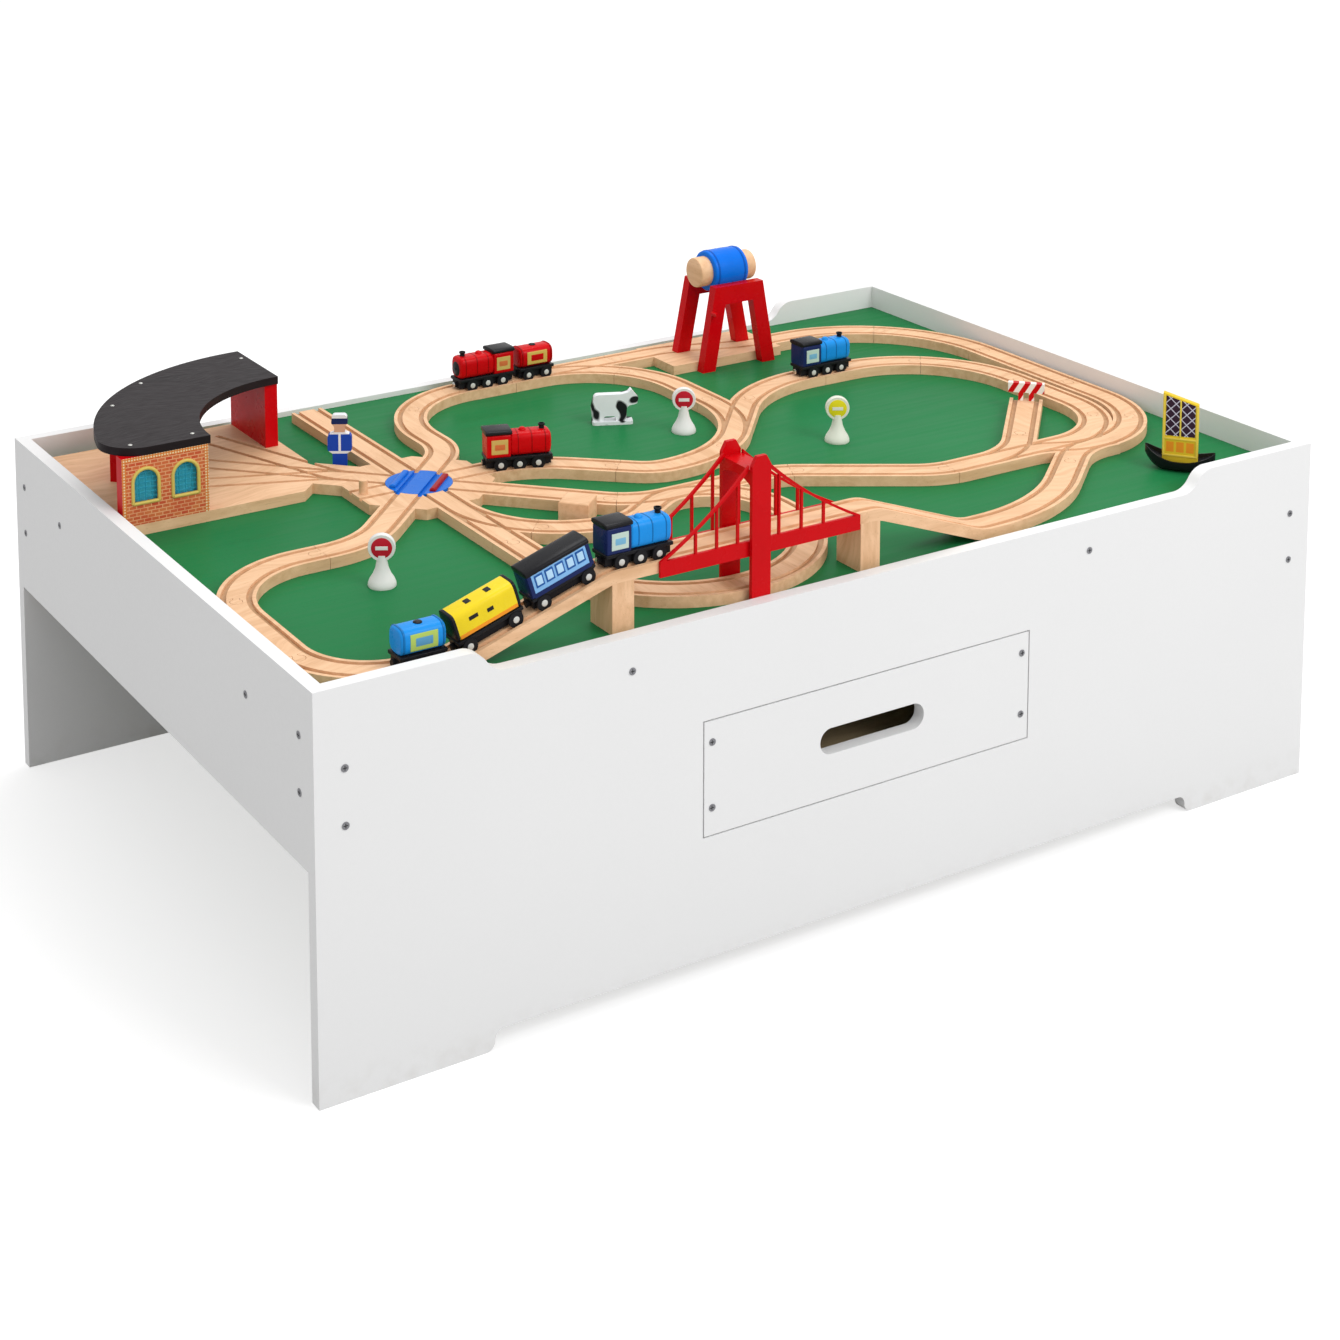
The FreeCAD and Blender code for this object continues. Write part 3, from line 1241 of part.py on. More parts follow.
def cow():
    """Stout cow cut from a board: deep body, low belly arch, raised head with a horn, on a flat foot."""
    half, back, leg, belly = COW_HALF, COW_BACK, COW_LEG, COW_BELLY
    rump, chest = -half, half * 0.7
    legs = [(rump, 0), (rump + leg, 0, 1), (rump + leg, belly, 3), (chest - leg, belly, 3),
            (chest - leg, 0, 1), (chest, 0, 1)]
    head = [(chest + 1, back * 0.55, 5), (half + 6, back * 0.62, 3), (half + 8, back * 0.85, 3),
            (half + 2, back * 1.06, 2), (half - 1, back * 1.18, 1), (half - 5, back * 1.06, 2)]
    outline = legs + head + [(chest - leg / 2, back, 6), (rump + 2, back, 6), (rump - 2, back / 2, 4)]
    animal = board_shape(outline, COW_T)
    length, width, thick = COW_FOOT
    foot = box(-length / 2, length / 2, -width / 2, width / 2, 0, thick)
    foot = foot.makeFillet(SIGN_BASE_R, [e for e in foot.Edges if e.BoundBox.ZLength > thick / 2])
    animal.translate(V(0, 0, thick))
    return place([foot, animal], *COW_XY, BOARD_TOP, COW_HEADING)


def guard_figure():
    """Railway guard cut from a board: legs together, long coat, round head under a peaked cap."""
    coat, neck, cap = GUARD_W / 2, GUARD_W * 0.22, GUARD_W * 0.34
    legs, hem, shoulder, chin = GUARD_H * 0.30, GUARD_H * 0.36, GUARD_H * 0.64, GUARD_H * 0.68
    brow, peak = GUARD_H * 0.79, GUARD_H * 0.85
    right = [(coat * 0.6, 0, 0), (coat * 0.6, legs, 3), (coat, hem, 4), (coat, shoulder, 6), (neck, chin, 2),
             (neck, brow, 5), (cap, peak, 1), (coat * 0.6, GUARD_H, 4)]
    left = [(-x, z, r) for x, z, r in right[::-1]]
    figure = board_shape([left[-1][:2]] + right + left[:-1], FIGURE_T)
    return place([figure], *GUARD_XY, BOARD_TOP, GUARD_HEADING)


def siding_buffer():
    """Striped beam across the end of the siding, on two short posts that stand on the track."""
    route = [each for each in routes() if each.node == "siding_tracks"][0]
    x, y, heading = route.station(route.length - BUFFER_T / 2 - 1)
    half = BUFFER_W / 2
    beam = box(-BUFFER_T / 2, BUFFER_T / 2, -half, half, BUFFER_POST_H, BUFFER_POST_H + BUFFER_H)
    thick, wide = BUFFER_T / 2, BUFFER_POST_W / 2
    posts = [box(-thick, thick, side * GROOVE_C / 2 - wide, side * GROOVE_C / 2 + wide, 0, BUFFER_POST_H)
             for side in (-1, 1)]
    return place([beam] + posts, x, y, TRACK_TOP, heading)


def track_block():
    """Loose wooden block beside the yard tracks."""
    half = BLOCK_W / 2
    block = box(-half, half, -half, half, 0, BLOCK_H)
    block = block.makeFillet(2.0, [e for e in block.Edges if e.BoundBox.ZMin > BLOCK_H / 2])
    return place([block], *BLOCK_XY, BOARD_TOP, BLOCK_HEADING)


def barge():
    """Toy barge: a flat-keeled hull with raised ends, pointed in plan, and an upright framed panel with a
    slanted top on it."""
    half, beam, keel = BARGE_L / 2, BARGE_W / 2, BARGE_L / 4
    swell_x = (half + keel) / 2 + BARGE_SWELL
    stern, bow = BARGE_STERN, BARGE_BOW
    side = [Part.Arc(V(-half, 0, bow), V(0, 0, BARGE_DECK), V(half, 0, stern)).toShape(),
            Part.Arc(V(half, 0, stern), V(swell_x, 0, stern / 3), V(keel, 0, 0)).toShape(),
            line(keel, 0, -keel, 0),
            Part.Arc(V(-keel, 0, 0), V(-swell_x, 0, bow / 3), V(-half, 0, bow)).toShape()]
    hull = prism(Part.Wire(side), (0, BARGE_W, 0))
    hull.translate(V(0, -beam, 0))
    tip = half + 1
    plan = [Part.Arc(V(-tip, 0, 0), V(0, -beam, 0), V(tip, 0, 0)).toShape(),
            Part.Arc(V(tip, 0, 0), V(0, beam, 0), V(-tip, 0, 0)).toShape()]
    hull = hull.common(prism(Part.Wire(plan), (0, 0, bow + 1)))
    wide, deep, rim = PANEL_W / 2, PANEL_DEPTH / 2, PANEL_RIM
    low, high = BARGE_DECK / 2, BARGE_DECK / 2 + PANEL_H
    hull = hull.cut(box(-wide, wide, -deep, deep, low, bow))
    recess_y = PANEL_RECESS - deep
    field = box(rim - wide, wide - rim, -PANEL_DEPTH, recess_y, low + PANEL_FIELD_Z, high - PANEL_SLANT - rim)
    pitch = (PANEL_W - 2 * rim) / PANEL_CELLS
    cells = []
    for i in range(PANEL_CELLS):
        x = rim - wide + pitch * i
        cells.append(box(x + 1, x + pitch - 1, -PANEL_DEPTH, recess_y, low + PANEL_CELL_Z,
                         low + PANEL_CELL_Z + PANEL_CELL_H))
    face = [(-wide, -deep, low), (-wide, -deep, high), (wide, -deep, high - PANEL_SLANT), (wide, -deep, low)]
    panel = prism(polygon(face), (0, PANEL_DEPTH, 0)).cut([field] + cells)
    spot = (*BARGE_XY, BOARD_TOP, BARGE_HEADING)
    return place([hull], *spot), place([panel], *spot)


def write(name, shapes):
    """Export one named piece, or a group of like pieces, as a STEP file."""
    shapes = shapes if isinstance(shapes, list) else [shapes]
    solids = [solid for shape in shapes for solid in shape.Solids]
    shape = solids[0] if len(solids) == 1 else Part.makeCompound(solids)
    shape.exportStep("parts/" + name + ".step")


def table_parts():
    screws = panel_screws()
    blocks, rails = corner_blocks(), board_rails()
    carriers = drawer_carriers(rails)
    end_panel = box(-HALF_L, -INNER_X, -INNER_Y, INNER_Y, END_PANEL_BOTTOM, HEIGHT)
    parts = {
        "front_panel": [long_panel(-HALF_D)],
        "back_panel": [long_panel(INNER_Y)],
        "left_end_panel": [end_panel],
        "right_end_panel": [end_panel.mirror(V(0, 0, 0), V(1, 0, 0))],
        "corner_blocks": blocks,
        "board_rails": rails,
        "drawer_carriers": carriers,
    }
    parts = {name: [shape.cut(screws) for shape in shapes] for name, shapes in parts.items()}
    parts["play_board"] = [box(-INNER_X, INNER_X, -INNER_Y, INNER_Y, BOARD_UNDER, BOARD_TOP)]
    parts["drawer_stop"] = [drawer_stop()]
    parts["panel_screws"] = screws
    return parts


def on_ramp(x):
    """Height on the left ramp's running line above x, and the slope there."""
    route = ramp_line(RAMP_FOOT_LEFT_X, BRIDGE_LEFT_X)
    s, (_, z, slope) = min(route.samples, key=lambda sample: abs(sample[1][0] - x))
    return z, slope


def train_parts():
    """Every vehicle at its place on the track, as a body and a running gear."""
    sink = GROOVE_D - WHEEL_LIFT
    flat, deck = TRACK_TOP - sink, BRIDGE_TOP - sink
    bend_centre_x, bend_centre_y = exit_point(0)[0], TABLE_Y - BEND_R
    bend_x, bend_y = heading_vector(90 - YARD_ENGINE_TURN)
    yard_r = BEND_R - YARD_ENGINE_INSET
    spots = {
        "ring_engine": ("engine", RING_ENGINE_X, BACK_RUN_Y, flat, 180.0, 0.0),
        "ring_tender": ("tender", RING_TENDER_X, BACK_RUN_Y, flat, 180.0, 0.0),
        "yard_engine": ("engine", bend_centre_x + yard_r * bend_x, bend_centre_y + yard_r * bend_y, flat,
                        -YARD_ENGINE_TURN, 0.0),
        "blue_engine": ("engine", BLUE_ENGINE_X, RIGHT_TOP_Y, flat, 0.0, 0.0),
        "bridge_engine": ("engine", BRIDGE_ENGINE_X, FRONT_RUN_Y, deck, 0.0, 0.0),
        "last_tender": ("tender", LAST_TENDER_X, FRONT_RUN_Y, flat, 0.0, 0.0),
    }
    for name, kind, x in (("striped_coach", "coach", COACH_X), ("yellow_car", "car", CAR_X)):
        z, slope = on_ramp(x)
        lean = math.radians(slope)
        spots[name] = (kind, x + sink * math.sin(lean), FRONT_RUN_Y, z - sink * math.cos(lean), 0.0, slope)
    makers = {"engine": (lambda: [engine_body(), engine_roof()], ENGINE_L, ENGINE_AXLES),
              "tender": (lambda: [tender_body(TENDER_L, TENDER_H)], TENDER_L, TENDER_AXLES),
              "coach": (lambda: list(coach_body(COACH_L, COACH_H)), COACH_L, COACH_AXLES),
              "car": (lambda: [car_body(COACH_L, COACH_H)], COACH_L, COACH_AXLES)}
    parts = {}
    for name, (kind, *spot) in spots.items():
        make_body, length, axles = makers[kind]
        parts[name + "_body"] = place(make_body(), *spot)
        parts[name + "_gear"] = place([running_gear(length, axles)], *spot)
    return parts


def main():
    os.makedirs("parts", exist_ok=True)
    parts = table_parts()
    for name, side in (("front_drawer", -1), ("back_drawer", 1)):
        for piece, shapes in drawer(side).items():
            parts[name + "_" + piece] = shapes
    parts.update(trackwork())
    parts["turntable_base"] = [turntable_base()]
    parts["turntable_disc"] = [turntable_disc()]
    ramps = [ramp(RAMP_FOOT_LEFT_X, BRIDGE_LEFT_X), ramp(RAMP_FOOT_RIGHT_X, BRIDGE_RIGHT_X)]
    parts["bridge_ramps"] = ramps
    parts["bridge_deck"] = [bridge_deck()]
    parts["bridge_piers"] = bridge_piers(ramps)
    parts["bridge_tower"] = [bridge_tower()]
    front_y = FRONT_RUN_Y - TRACK_W / 2 - GIRDER_CLEAR - GIRDER_T
    back_y = FRONT_RUN_Y + TRACK_W / 2 + GIRDER_CLEAR
    parts["bridge_girders"] = [girder_side(front_y), girder_side(back_y)]
    parts["shed_floor"] = [shed_floor()]
    parts["shed_walls"], parts["shed_windows"] = shed_walls()
    parts["shed_roof"] = [shed_roof()]
    parts["tower_plate"] = [tower_plate()]
    parts["tower_frames"] = tower_frames()
    shell, plugs = barrel()
    parts["water_barrel"] = [shell]
    parts["barrel_plugs"] = plugs
    parts.update(train_parts())
    parts["signs"] = []
    for spot, height, sides in ((LEFT_SIGN_XY, STOP_SIGN_H, STOP_SIGN_SIDES),
                                (RIGHT_SIGN_XY, STOP_SIGN_H, STOP_SIGN_SIDES),
                                (ROUND_SIGN_XY, ROUND_SIGN_H, ROUND_SIGN_SIDES)):
        parts["signs"] += sign(*spot, height, sides, SIGN_HEADING)
    parts["cow_board"] = cow()
    parts["guard_board"] = guard_figure()
    parts["siding_buffer"] = siding_buffer()
    parts["track_block"] = track_block()
    parts["barge_hull"], parts["barge_panel"] = barge()
    parts["turntable_base"].append(end_post())
    for name, shapes in parts.items():
        write(name, shapes)


main()
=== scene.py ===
import logging
import math
from collections.abc import Sequence
from dataclasses import dataclass
from enum import Enum

import bmesh
import bpy
import numpy as np
from mathutils import Euler, Matrix, Vector


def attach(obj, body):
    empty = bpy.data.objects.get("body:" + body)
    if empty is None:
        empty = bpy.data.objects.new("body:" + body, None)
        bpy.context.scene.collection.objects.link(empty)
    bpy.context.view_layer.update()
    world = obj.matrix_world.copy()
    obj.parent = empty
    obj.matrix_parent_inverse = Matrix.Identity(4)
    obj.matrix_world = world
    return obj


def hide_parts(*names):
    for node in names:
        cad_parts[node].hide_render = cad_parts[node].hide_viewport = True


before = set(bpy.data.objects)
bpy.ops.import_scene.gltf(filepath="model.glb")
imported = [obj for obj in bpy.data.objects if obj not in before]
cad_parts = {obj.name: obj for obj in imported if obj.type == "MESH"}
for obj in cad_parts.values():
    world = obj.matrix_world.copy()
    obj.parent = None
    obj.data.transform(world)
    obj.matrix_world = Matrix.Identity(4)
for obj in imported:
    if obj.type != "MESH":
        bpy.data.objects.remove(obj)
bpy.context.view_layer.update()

LOG = logging.getLogger("train_table")
MM = 0.001
OPEN = (-999.0, 999.0)

Socket = bpy.types.NodeSocket
Material = bpy.types.Material
Grid = np.ndarray
Pair = tuple[float, float]
Colour = tuple[float, float, float]
Value = Socket | float | Colour

WHITE: Colour = (0.80, 0.80, 0.80)
INK: Colour = (0.012, 0.012, 0.014)
NAVY: Colour = (0.012, 0.022, 0.10)
RED: Colour = (0.56, 0.001, 0.004)
DEEP_RED: Colour = (0.30, 0.006, 0.014)
SKY: Colour = (0.012, 0.26, 0.72)
PALE_BLUE: Colour = (0.22, 0.46, 0.78)
PALE: Colour = (0.50, 0.62, 0.55)
YELLOW: Colour = (0.82, 0.62, 0.02)
ORANGE: Colour = (0.80, 0.28, 0.02)
BEECH: Colour = (0.80, 0.51, 0.305)
SILVER: Colour = (0.62, 0.62, 0.60)


def shade(colour: Colour, by: float) -> Colour:
    """Colour made darker or lighter by a factor, held at 1."""
    return tuple(min(1.0, c * by) for c in colour)


class Direction(Enum):
    """Axis along which wood grain runs."""

    ALONG = (1.0, 14.0, 14.0)
    ACROSS = (14.0, 1.0, 14.0)
    UP = (14.0, 14.0, 1.0)


@dataclass(frozen=True)
class Spot:
    """Place of a piece that has its own frame: metres, heading and pitch in degrees."""

    x: float
    y: float
    z: float
    heading: float = 0.0
    pitch: float = 0.0

    def turn(self) -> Euler:
        """Rotation from the piece's own frame."""
        return Euler((0.0, -math.radians(self.pitch), math.radians(self.heading)))

    def to_table(self, points: Grid) -> Grid:
        """Points of the piece's own frame, in millimetres, as metres on the table.

        Args:
            points: array that ends in x, y, z.

        Returns:
            The same array turned, scaled and moved.
        """
        turn = np.array(self.turn().to_matrix())
        return points * MM @ turn.T + np.array((self.x, self.y, self.z))


ORIGIN = Spot(0.0, 0.0, 0.0)


class Graph:
    """Writes the nodes of one material around a Principled shader."""

    def __init__(self, name: str) -> None:
        """Start an empty material of that name."""
        self.material = bpy.data.materials.new(name)
        self.material.use_nodes = True
        self.nodes = self.material.node_tree.nodes
        self.links = self.material.node_tree.links
        self.nodes.clear()
        self.shader = self.nodes.new("ShaderNodeBsdfPrincipled")
        output = self.nodes.new("ShaderNodeOutputMaterial")
        self.links.new(self.shader.outputs[0], output.inputs[0])
        self.place = self.nodes.new("ShaderNodeTexCoord").outputs["Object"]

    def feed(self, socket: Socket, value: Value) -> None:
        """Link a socket, or set its number or colour."""
        if isinstance(value, Socket):
            self.links.new(value, socket)
        elif isinstance(value, tuple) and len(value) == 3 and socket.type == "RGBA":
            socket.default_value = (*value, 1.0)
        else:
            socket.default_value = value

    def set(self, name: str, value: Value) -> None:
        """Feed one input of the Principled shader."""
        self.feed(self.shader.inputs[name], value)

    def node(self, kind: str, **inputs: Value | Sequence[float]) -> bpy.types.Node:
        """New node of a kind, with its inputs fed by name."""
        node = self.nodes.new("ShaderNode" + kind)
        for name, value in inputs.items():
            self.feed(node.inputs[name], value)
        return node

    def math(self, operation: str, a: Value, b: Value = 0.0) -> Socket:
        """One sum on two values."""
        node = self.node("Math")
        node.operation = operation
        self.feed(node.inputs[0], a)
        self.feed(node.inputs[1], b)
        return node.outputs[0]

    def both(self, *values: Value) -> Socket:
        """Product of masks."""
        result = values[0]
        for value in values[1:]:
            result = self.math("MULTIPLY", result, value)
        return result

    def band(self, value: Value, low: float, high: float) -> Socket:
        """Mask that is 1 where the value lies between two limits."""
        return self.both(self.math("GREATER_THAN", value, low), self.math("LESS_THAN", value, high))

    def blend(self, share: Value, a: Value, b: Value) -> Socket:
        """Colour between a and b."""
        node = self.node("Mix")
        node.data_type = "RGBA"
        self.feed(node.inputs[0], share)
        self.feed(node.inputs[6], a)
        self.feed(node.inputs[7], b)
        return node.outputs[2]

    def noise(self, scale: float, detail: float = 4.0, vector: Socket | None = None) -> Socket:
        """Smooth noise between 0 and 1, on Object coordinates unless a vector is given."""
        vector = self.place if vector is None else vector
        return self.node("TexNoise", Vector=vector, Scale=scale, Detail=detail).outputs[0]

    def range(self, value: Value, low: float, high: float, to_low: float, to_high: float) -> Socket:
        """Value mapped from one span to another, held at its ends."""
        node = self.node("MapRange")
        for socket, number in zip(node.inputs, (value, low, high, to_low, to_high)):
            self.feed(socket, number)
        return node.outputs[0]

    def local(self, spot: Spot) -> Socket:
        """Object coordinates seen from a piece's own frame."""
        place = (spot.x, spot.y, spot.z)
        node = self.node("Mapping", Vector=self.place, Location=place, Rotation=spot.turn())
        node.vector_type = "TEXTURE"
        return node.outputs[0]

    def stretched(self, vector: Value, scale: Sequence[float]) -> Socket:
        """Vector multiplied axis by axis."""
        return self.node("Mapping", Vector=vector, Scale=scale).outputs[0]

    def axes(self, vector: Value) -> tuple[Socket, ...]:
        """The x, y and z of a vector."""
        return tuple(self.node("SeparateXYZ", Vector=vector).outputs)

    def join(self, x: Value, y: Value, z: Value = 0.0) -> Socket:
        """Vector from three values."""
        return self.node("CombineXYZ", X=x, Y=y, Z=z).outputs[0]

    def bump(self, height: Value, strength: float, depth: float) -> None:
        """Relief of the given depth in metres."""
        self.set("Normal", self.node("Bump", Height=height, Strength=strength, Distance=depth).outputs[0])


@dataclass(frozen=True)
class Laminate:
    """Satin white face of the panels, darker in patches near the floor than on top."""

    colour: Colour = WHITE
    roughness: float = 0.42
    low_band_height: float = 0.035

    def make(self, name: str) -> Material:
        """Build the material."""
        graph = Graph(name)
        cloud = graph.noise(3.5)
        mottle = graph.noise(220.0, 3.0)
        _, _, z = graph.axes(graph.place)
        # Darker towards the bottom: within the lowest few centimetres, noisy patches blend towards
        # grey-brown.
        low = graph.range(z, 0.0, self.low_band_height, 1.0, 0.0)
        low_darkening = graph.both(low, graph.range(graph.noise(45.0), 0.45, 0.75, 0.0, 0.35))
        tone = graph.blend(cloud, shade(self.colour, 0.975), shade(self.colour, 1.015))
        tone = graph.blend(graph.range(mottle, 0.3, 0.7, 0.0, 0.25), tone, shade(self.colour, 0.965))
        graph.set("Base Color", graph.blend(low_darkening, tone, (0.55, 0.52, 0.48)))
        graph.set("Roughness", graph.range(mottle, 0.3, 0.7, self.roughness - 0.05, self.roughness + 0.08))
        graph.set("Specular IOR Level", 0.25)
        graph.bump(graph.noise(900.0, 2.0), 0.12, 0.0002)
        return graph.material


@dataclass(frozen=True)
class BoardPaint:
    """Green paint rolled on the play board, a little glossy, with faint roller streaks."""

    colour: Colour = (0.010, 0.158, 0.046)
    light: Colour = (0.017, 0.198, 0.064)
    roughness: float = 0.36

    def make(self, name: str) -> Material:
        """Build the material."""
        graph = Graph(name)
        streak = graph.noise(2.0, 5.0, graph.stretched(graph.place, (3.0, 60.0, 3.0)))
        cloud = graph.noise(2.4, 3.0)
        share = graph.math("ADD", graph.range(cloud, 0.3, 0.7, 0.0, 0.8),
                           graph.range(streak, 0.3, 0.7, -0.1, 0.2))
        tone = graph.blend(share, self.colour, self.light)
        speck = graph.range(graph.noise(420.0, 2.0), 0.62, 0.72, 0.0, 0.25)
        graph.set("Base Color", graph.blend(speck, tone, shade(self.colour, 0.6)))
        graph.set("Roughness", graph.range(streak, 0.3, 0.7, self.roughness - 0.06, self.roughness + 0.1))
        graph.set("Specular IOR Level", 0.05)
        graph.bump(graph.noise(520.0, 3.0), 0.18, 0.0003)
        return graph.material


@dataclass(frozen=True)
class Wood:
    """Bare or stained wood: long growth bands, fine pores and short rays along the grain; painted shade on
    groove floors.
    """

    colour: Colour = BEECH
    dark: Colour = (0.62, 0.355, 0.185)
    grain: Direction = Direction.ALONG
    roughness: float = 0.5
    drift: float = 0.10
    groove_shade_z: Pair | None = None
    gloss: float = 0.2

    def make(self, name: str) -> Material:
        """Build the material."""
        graph = Graph(name)
        sway = graph.noise(7.0, 2.0)
        x, y, z = graph.axes(graph.place)
        moved = graph.join(x, graph.math("ADD", y, graph.math("MULTIPLY", sway, self.drift)), z)
        along = graph.stretched(moved, self.grain.value)
        bands = graph.noise(9.0, 5.0, along)
        pores = graph.noise(70.0, 3.0, along)
        piece = graph.noise(11.0, 1.0)
        tone = graph.blend(graph.range(bands, 0.36, 0.66, 0.0, 0.75), self.colour, self.dark)
        tone = graph.blend(graph.range(piece, 0.35, 0.65, 0.0, 0.32), tone, shade(self.colour, 1.12))
        rays = graph.range(pores, 0.60, 0.72, 0.0, 0.42)
        tone = graph.blend(rays, tone, shade(self.dark, 0.72))
        # Painted shade: up-facing faces inside the grooves' height band blend towards dark brown.
        if self.groove_shade_z:
            _, _, up = graph.axes(graph.node("NewGeometry").outputs["Normal"])
            floor = graph.both(graph.band(z, *self.groove_shade_z), graph.math("GREATER_THAN", up, 0.5), 0.62)
            tone = graph.blend(floor, tone, (0.36, 0.20, 0.09))
        graph.set("Base Color", tone)
        graph.set("Roughness", graph.range(pores, 0.3, 0.7, self.roughness - 0.06, self.roughness + 0.12))
        graph.set("Specular IOR Level", self.gloss)
        graph.bump(graph.math("ADD", bands, graph.math("MULTIPLY", pores, 0.6)), 0.22, 0.0003)
        return graph.material


@dataclass(frozen=True)
class Paint:
    """Gloss toy paint with a faint orange peel and slightly uneven cover."""

    colour: Colour
    roughness: float = 0.28
    metal: float = 0.0
    peel: float = 260.0
    gloss: float = 0.12

    def tone(self, graph: Graph) -> Socket:
        """Colour with its unevenness."""
        cloud = graph.noise(38.0, 3.0)
        return graph.blend(cloud, shade(self.colour, 0.92), shade(self.colour, 1.07))

    def make(self, name: str) -> Material:
        """Build the material."""
        graph = Graph(name)
        wear = graph.noise(45.0, 3.0)
        graph.set("Base Color", self.tone(graph))
        graph.set("Roughness", graph.range(wear, 0.3, 0.75, self.roughness - 0.04, self.roughness + 0.10))
        graph.set("Metallic", self.metal)
        graph.set("Specular IOR Level", self.gloss)
        graph.bump(graph.noise(self.peel, 2.0), 0.06, 0.0004)
        return graph.material


@dataclass(frozen=True)
class Area:
    """Box in a piece's own millimetres that a printed piece fills with one colour."""

    colour: Colour
    x: Pair = OPEN
    y: Pair = OPEN
    z: Pair = OPEN

    def mask(self, graph: Graph, axes: Sequence[Socket]) -> Socket:
        """Mask of the box, leaving out the sides that have no limit."""
        sides = [(value, span) for value, span in zip(axes, (self.x, self.y, self.z)) if span != OPEN]
        return graph.both(*(graph.band(value, low * MM, high * MM) for value, (low, high) in sides))


@dataclass(frozen=True)
class Printed(Paint):
    """Gloss paint with areas of other colours, placed in the piece's own frame."""

    spot: Spot = ORIGIN
    areas: tuple[Area, ...] = ()

    def tone(self, graph: Graph) -> Socket:
        """Ground colour with each area over it."""
        tone = super().tone(graph)
        axes = graph.axes(graph.local(self.spot))
        for area in self.areas:
            tone = graph.blend(area.mask(graph, axes), tone, area.colour)
        return tone


@dataclass(frozen=True)
class Stripes(Paint):
    """Slanted stripes of a second colour."""

    spot: Spot = ORIGIN
    second: Colour = WHITE
    pitch: float = 14.0
    lean: float = 0.6

    def tone(self, graph: Graph) -> Socket:
        """Stripes where the slanted distance falls in the second half of each pitch."""
        _, y, z = graph.axes(graph.local(self.spot))
        slanted = graph.math("ADD", y, graph.math("MULTIPLY", z, self.lean))
        turn = graph.math("FRACT", graph.math("DIVIDE", slanted, self.pitch * MM))
        return graph.blend(graph.math("GREATER_THAN", turn, 0.5), super().tone(graph), self.second)


@dataclass(frozen=True)
class Patches(Paint):
    """Ground colour with soft dark patches, as on a cow's coat."""

    second: Colour = INK
    size: float = 34.0

    def tone(self, graph: Graph) -> Socket:
        """Patches where a coarse noise is high."""
        share = graph.range(graph.noise(self.size, 1.0), 0.55, 0.58, 0.0, 1.0)
        return graph.blend(share, super().tone(graph), self.second)


@dataclass(frozen=True)
class BrickPrint(Paint):
    """Red paint whose front face carries a printed brick pattern inside a dotted border."""

    face_y: float = 0.1083
    ends: Pair = (-0.615, -0.515)
    top: float = 0.458
    border: float = 0.0045
    brick: Colour = (0.56, 0.075, 0.035)
    other: Colour = (0.64, 0.17, 0.06)
    joint: Colour = (0.78, 0.40, 0.20)

    def edge(self, graph: Graph, x: Value, z: Value) -> Socket:
        """Mask of the strip along both ends and the top."""
        left, right = self.ends
        sides = graph.math("MAXIMUM", graph.math("LESS_THAN", x, left + self.border),
                           graph.math("GREATER_THAN", x, right - self.border))
        return graph.math("MAXIMUM", sides, graph.math("GREATER_THAN", z, self.top - self.border))

    def dots(self, graph: Graph, x: Value, z: Value) -> Socket:
        """Mask of a square lattice of dots, where both distances are in the middle of each pitch."""
        shares = [graph.math("FRACT", graph.math("DIVIDE", value, self.border * 0.7)) for value in (x, z)]
        return graph.both(*(graph.band(share, 0.22, 0.78) for share in shares))

    def tone(self, graph: Graph) -> Socket:
        """Bricks in rows of 4 mm on the front face only."""
        x, y, z = graph.axes(graph.place)
        sizes = {"Mortar Size": 0.0005, "Brick Width": 0.0085, "Row Height": 0.004}
        wall = graph.node("TexBrick", Vector=graph.join(x, z), Color1=self.brick, Color2=self.other,
                          Mortar=self.joint, Scale=1.0, **sizes)
        trim = graph.blend(self.dots(graph, x, z), (0.68, 0.20, 0.04), (0.80, 0.66, 0.42))
        share = graph.range(graph.noise(60.0), 0.5, 0.7, 0.0, 0.45)
        worn = graph.blend(share, wall.outputs["Color"], self.brick)
        face = graph.blend(self.edge(graph, x, z), worn, trim)
        return graph.blend(graph.math("LESS_THAN", y, self.face_y), super().tone(graph), face)


@dataclass(frozen=True)
class Lattice(Printed):
    """Printed panel whose field carries a generic lattice of pale diagonal lines."""

    line: Colour = (0.55, 0.52, 0.62)
    pitch: float = 12.0
    width: float = 0.13
    fields: int = 2

    def tone(self, graph: Graph) -> Socket:
        """Lines where either diagonal distance is near a whole pitch, inside the first areas."""
        tone = super().tone(graph)
        x, y, z = graph.axes(graph.local(self.spot))
        lines = []
        for operation in ("ADD", "SUBTRACT"):
            turn = graph.math("FRACT", graph.math("DIVIDE", graph.math(operation, x, z), self.pitch * MM))
            lines.append(graph.math("LESS_THAN", turn, self.width))
        either = graph.math("MAXIMUM", *lines)
        for area in self.areas[:self.fields]:
            tone = graph.blend(graph.both(either, area.mask(graph, (x, y, z))), tone, self.line)
        return tone


def grid_faces(rows: int, columns: int) -> Grid:
    """Quads of a grid of points whose columns close into rings.

    Args:
        rows: number of rings.
        columns: points in a ring.

    Returns:
        Array of four indices per quad.
    """
    i, j = np.meshgrid(np.arange(rows - 1), np.arange(columns), indexing="ij")
    k = (j + 1) % columns
    here, ahead = i * columns, (i + 1) * columns
    return np.stack([here + j, here + k, ahead + k, ahead + j], -1).reshape(-1, 4)


def superellipse(count: int, power: float) -> Grid:
    """Unit ring where |y|^p + |z|^p = 1, as y = sgn(cos)|cos|^(2/p) and z the same of the sine."""
    angle = np.linspace(0.0, 2 * math.pi, count, endpoint=False)
    c, s = np.cos(angle), np.sin(angle)
    return np.stack([np.sign(c) * np.abs(c) ** (2 / power), np.sign(s) * np.abs(s) ** (2 / power)], -1)


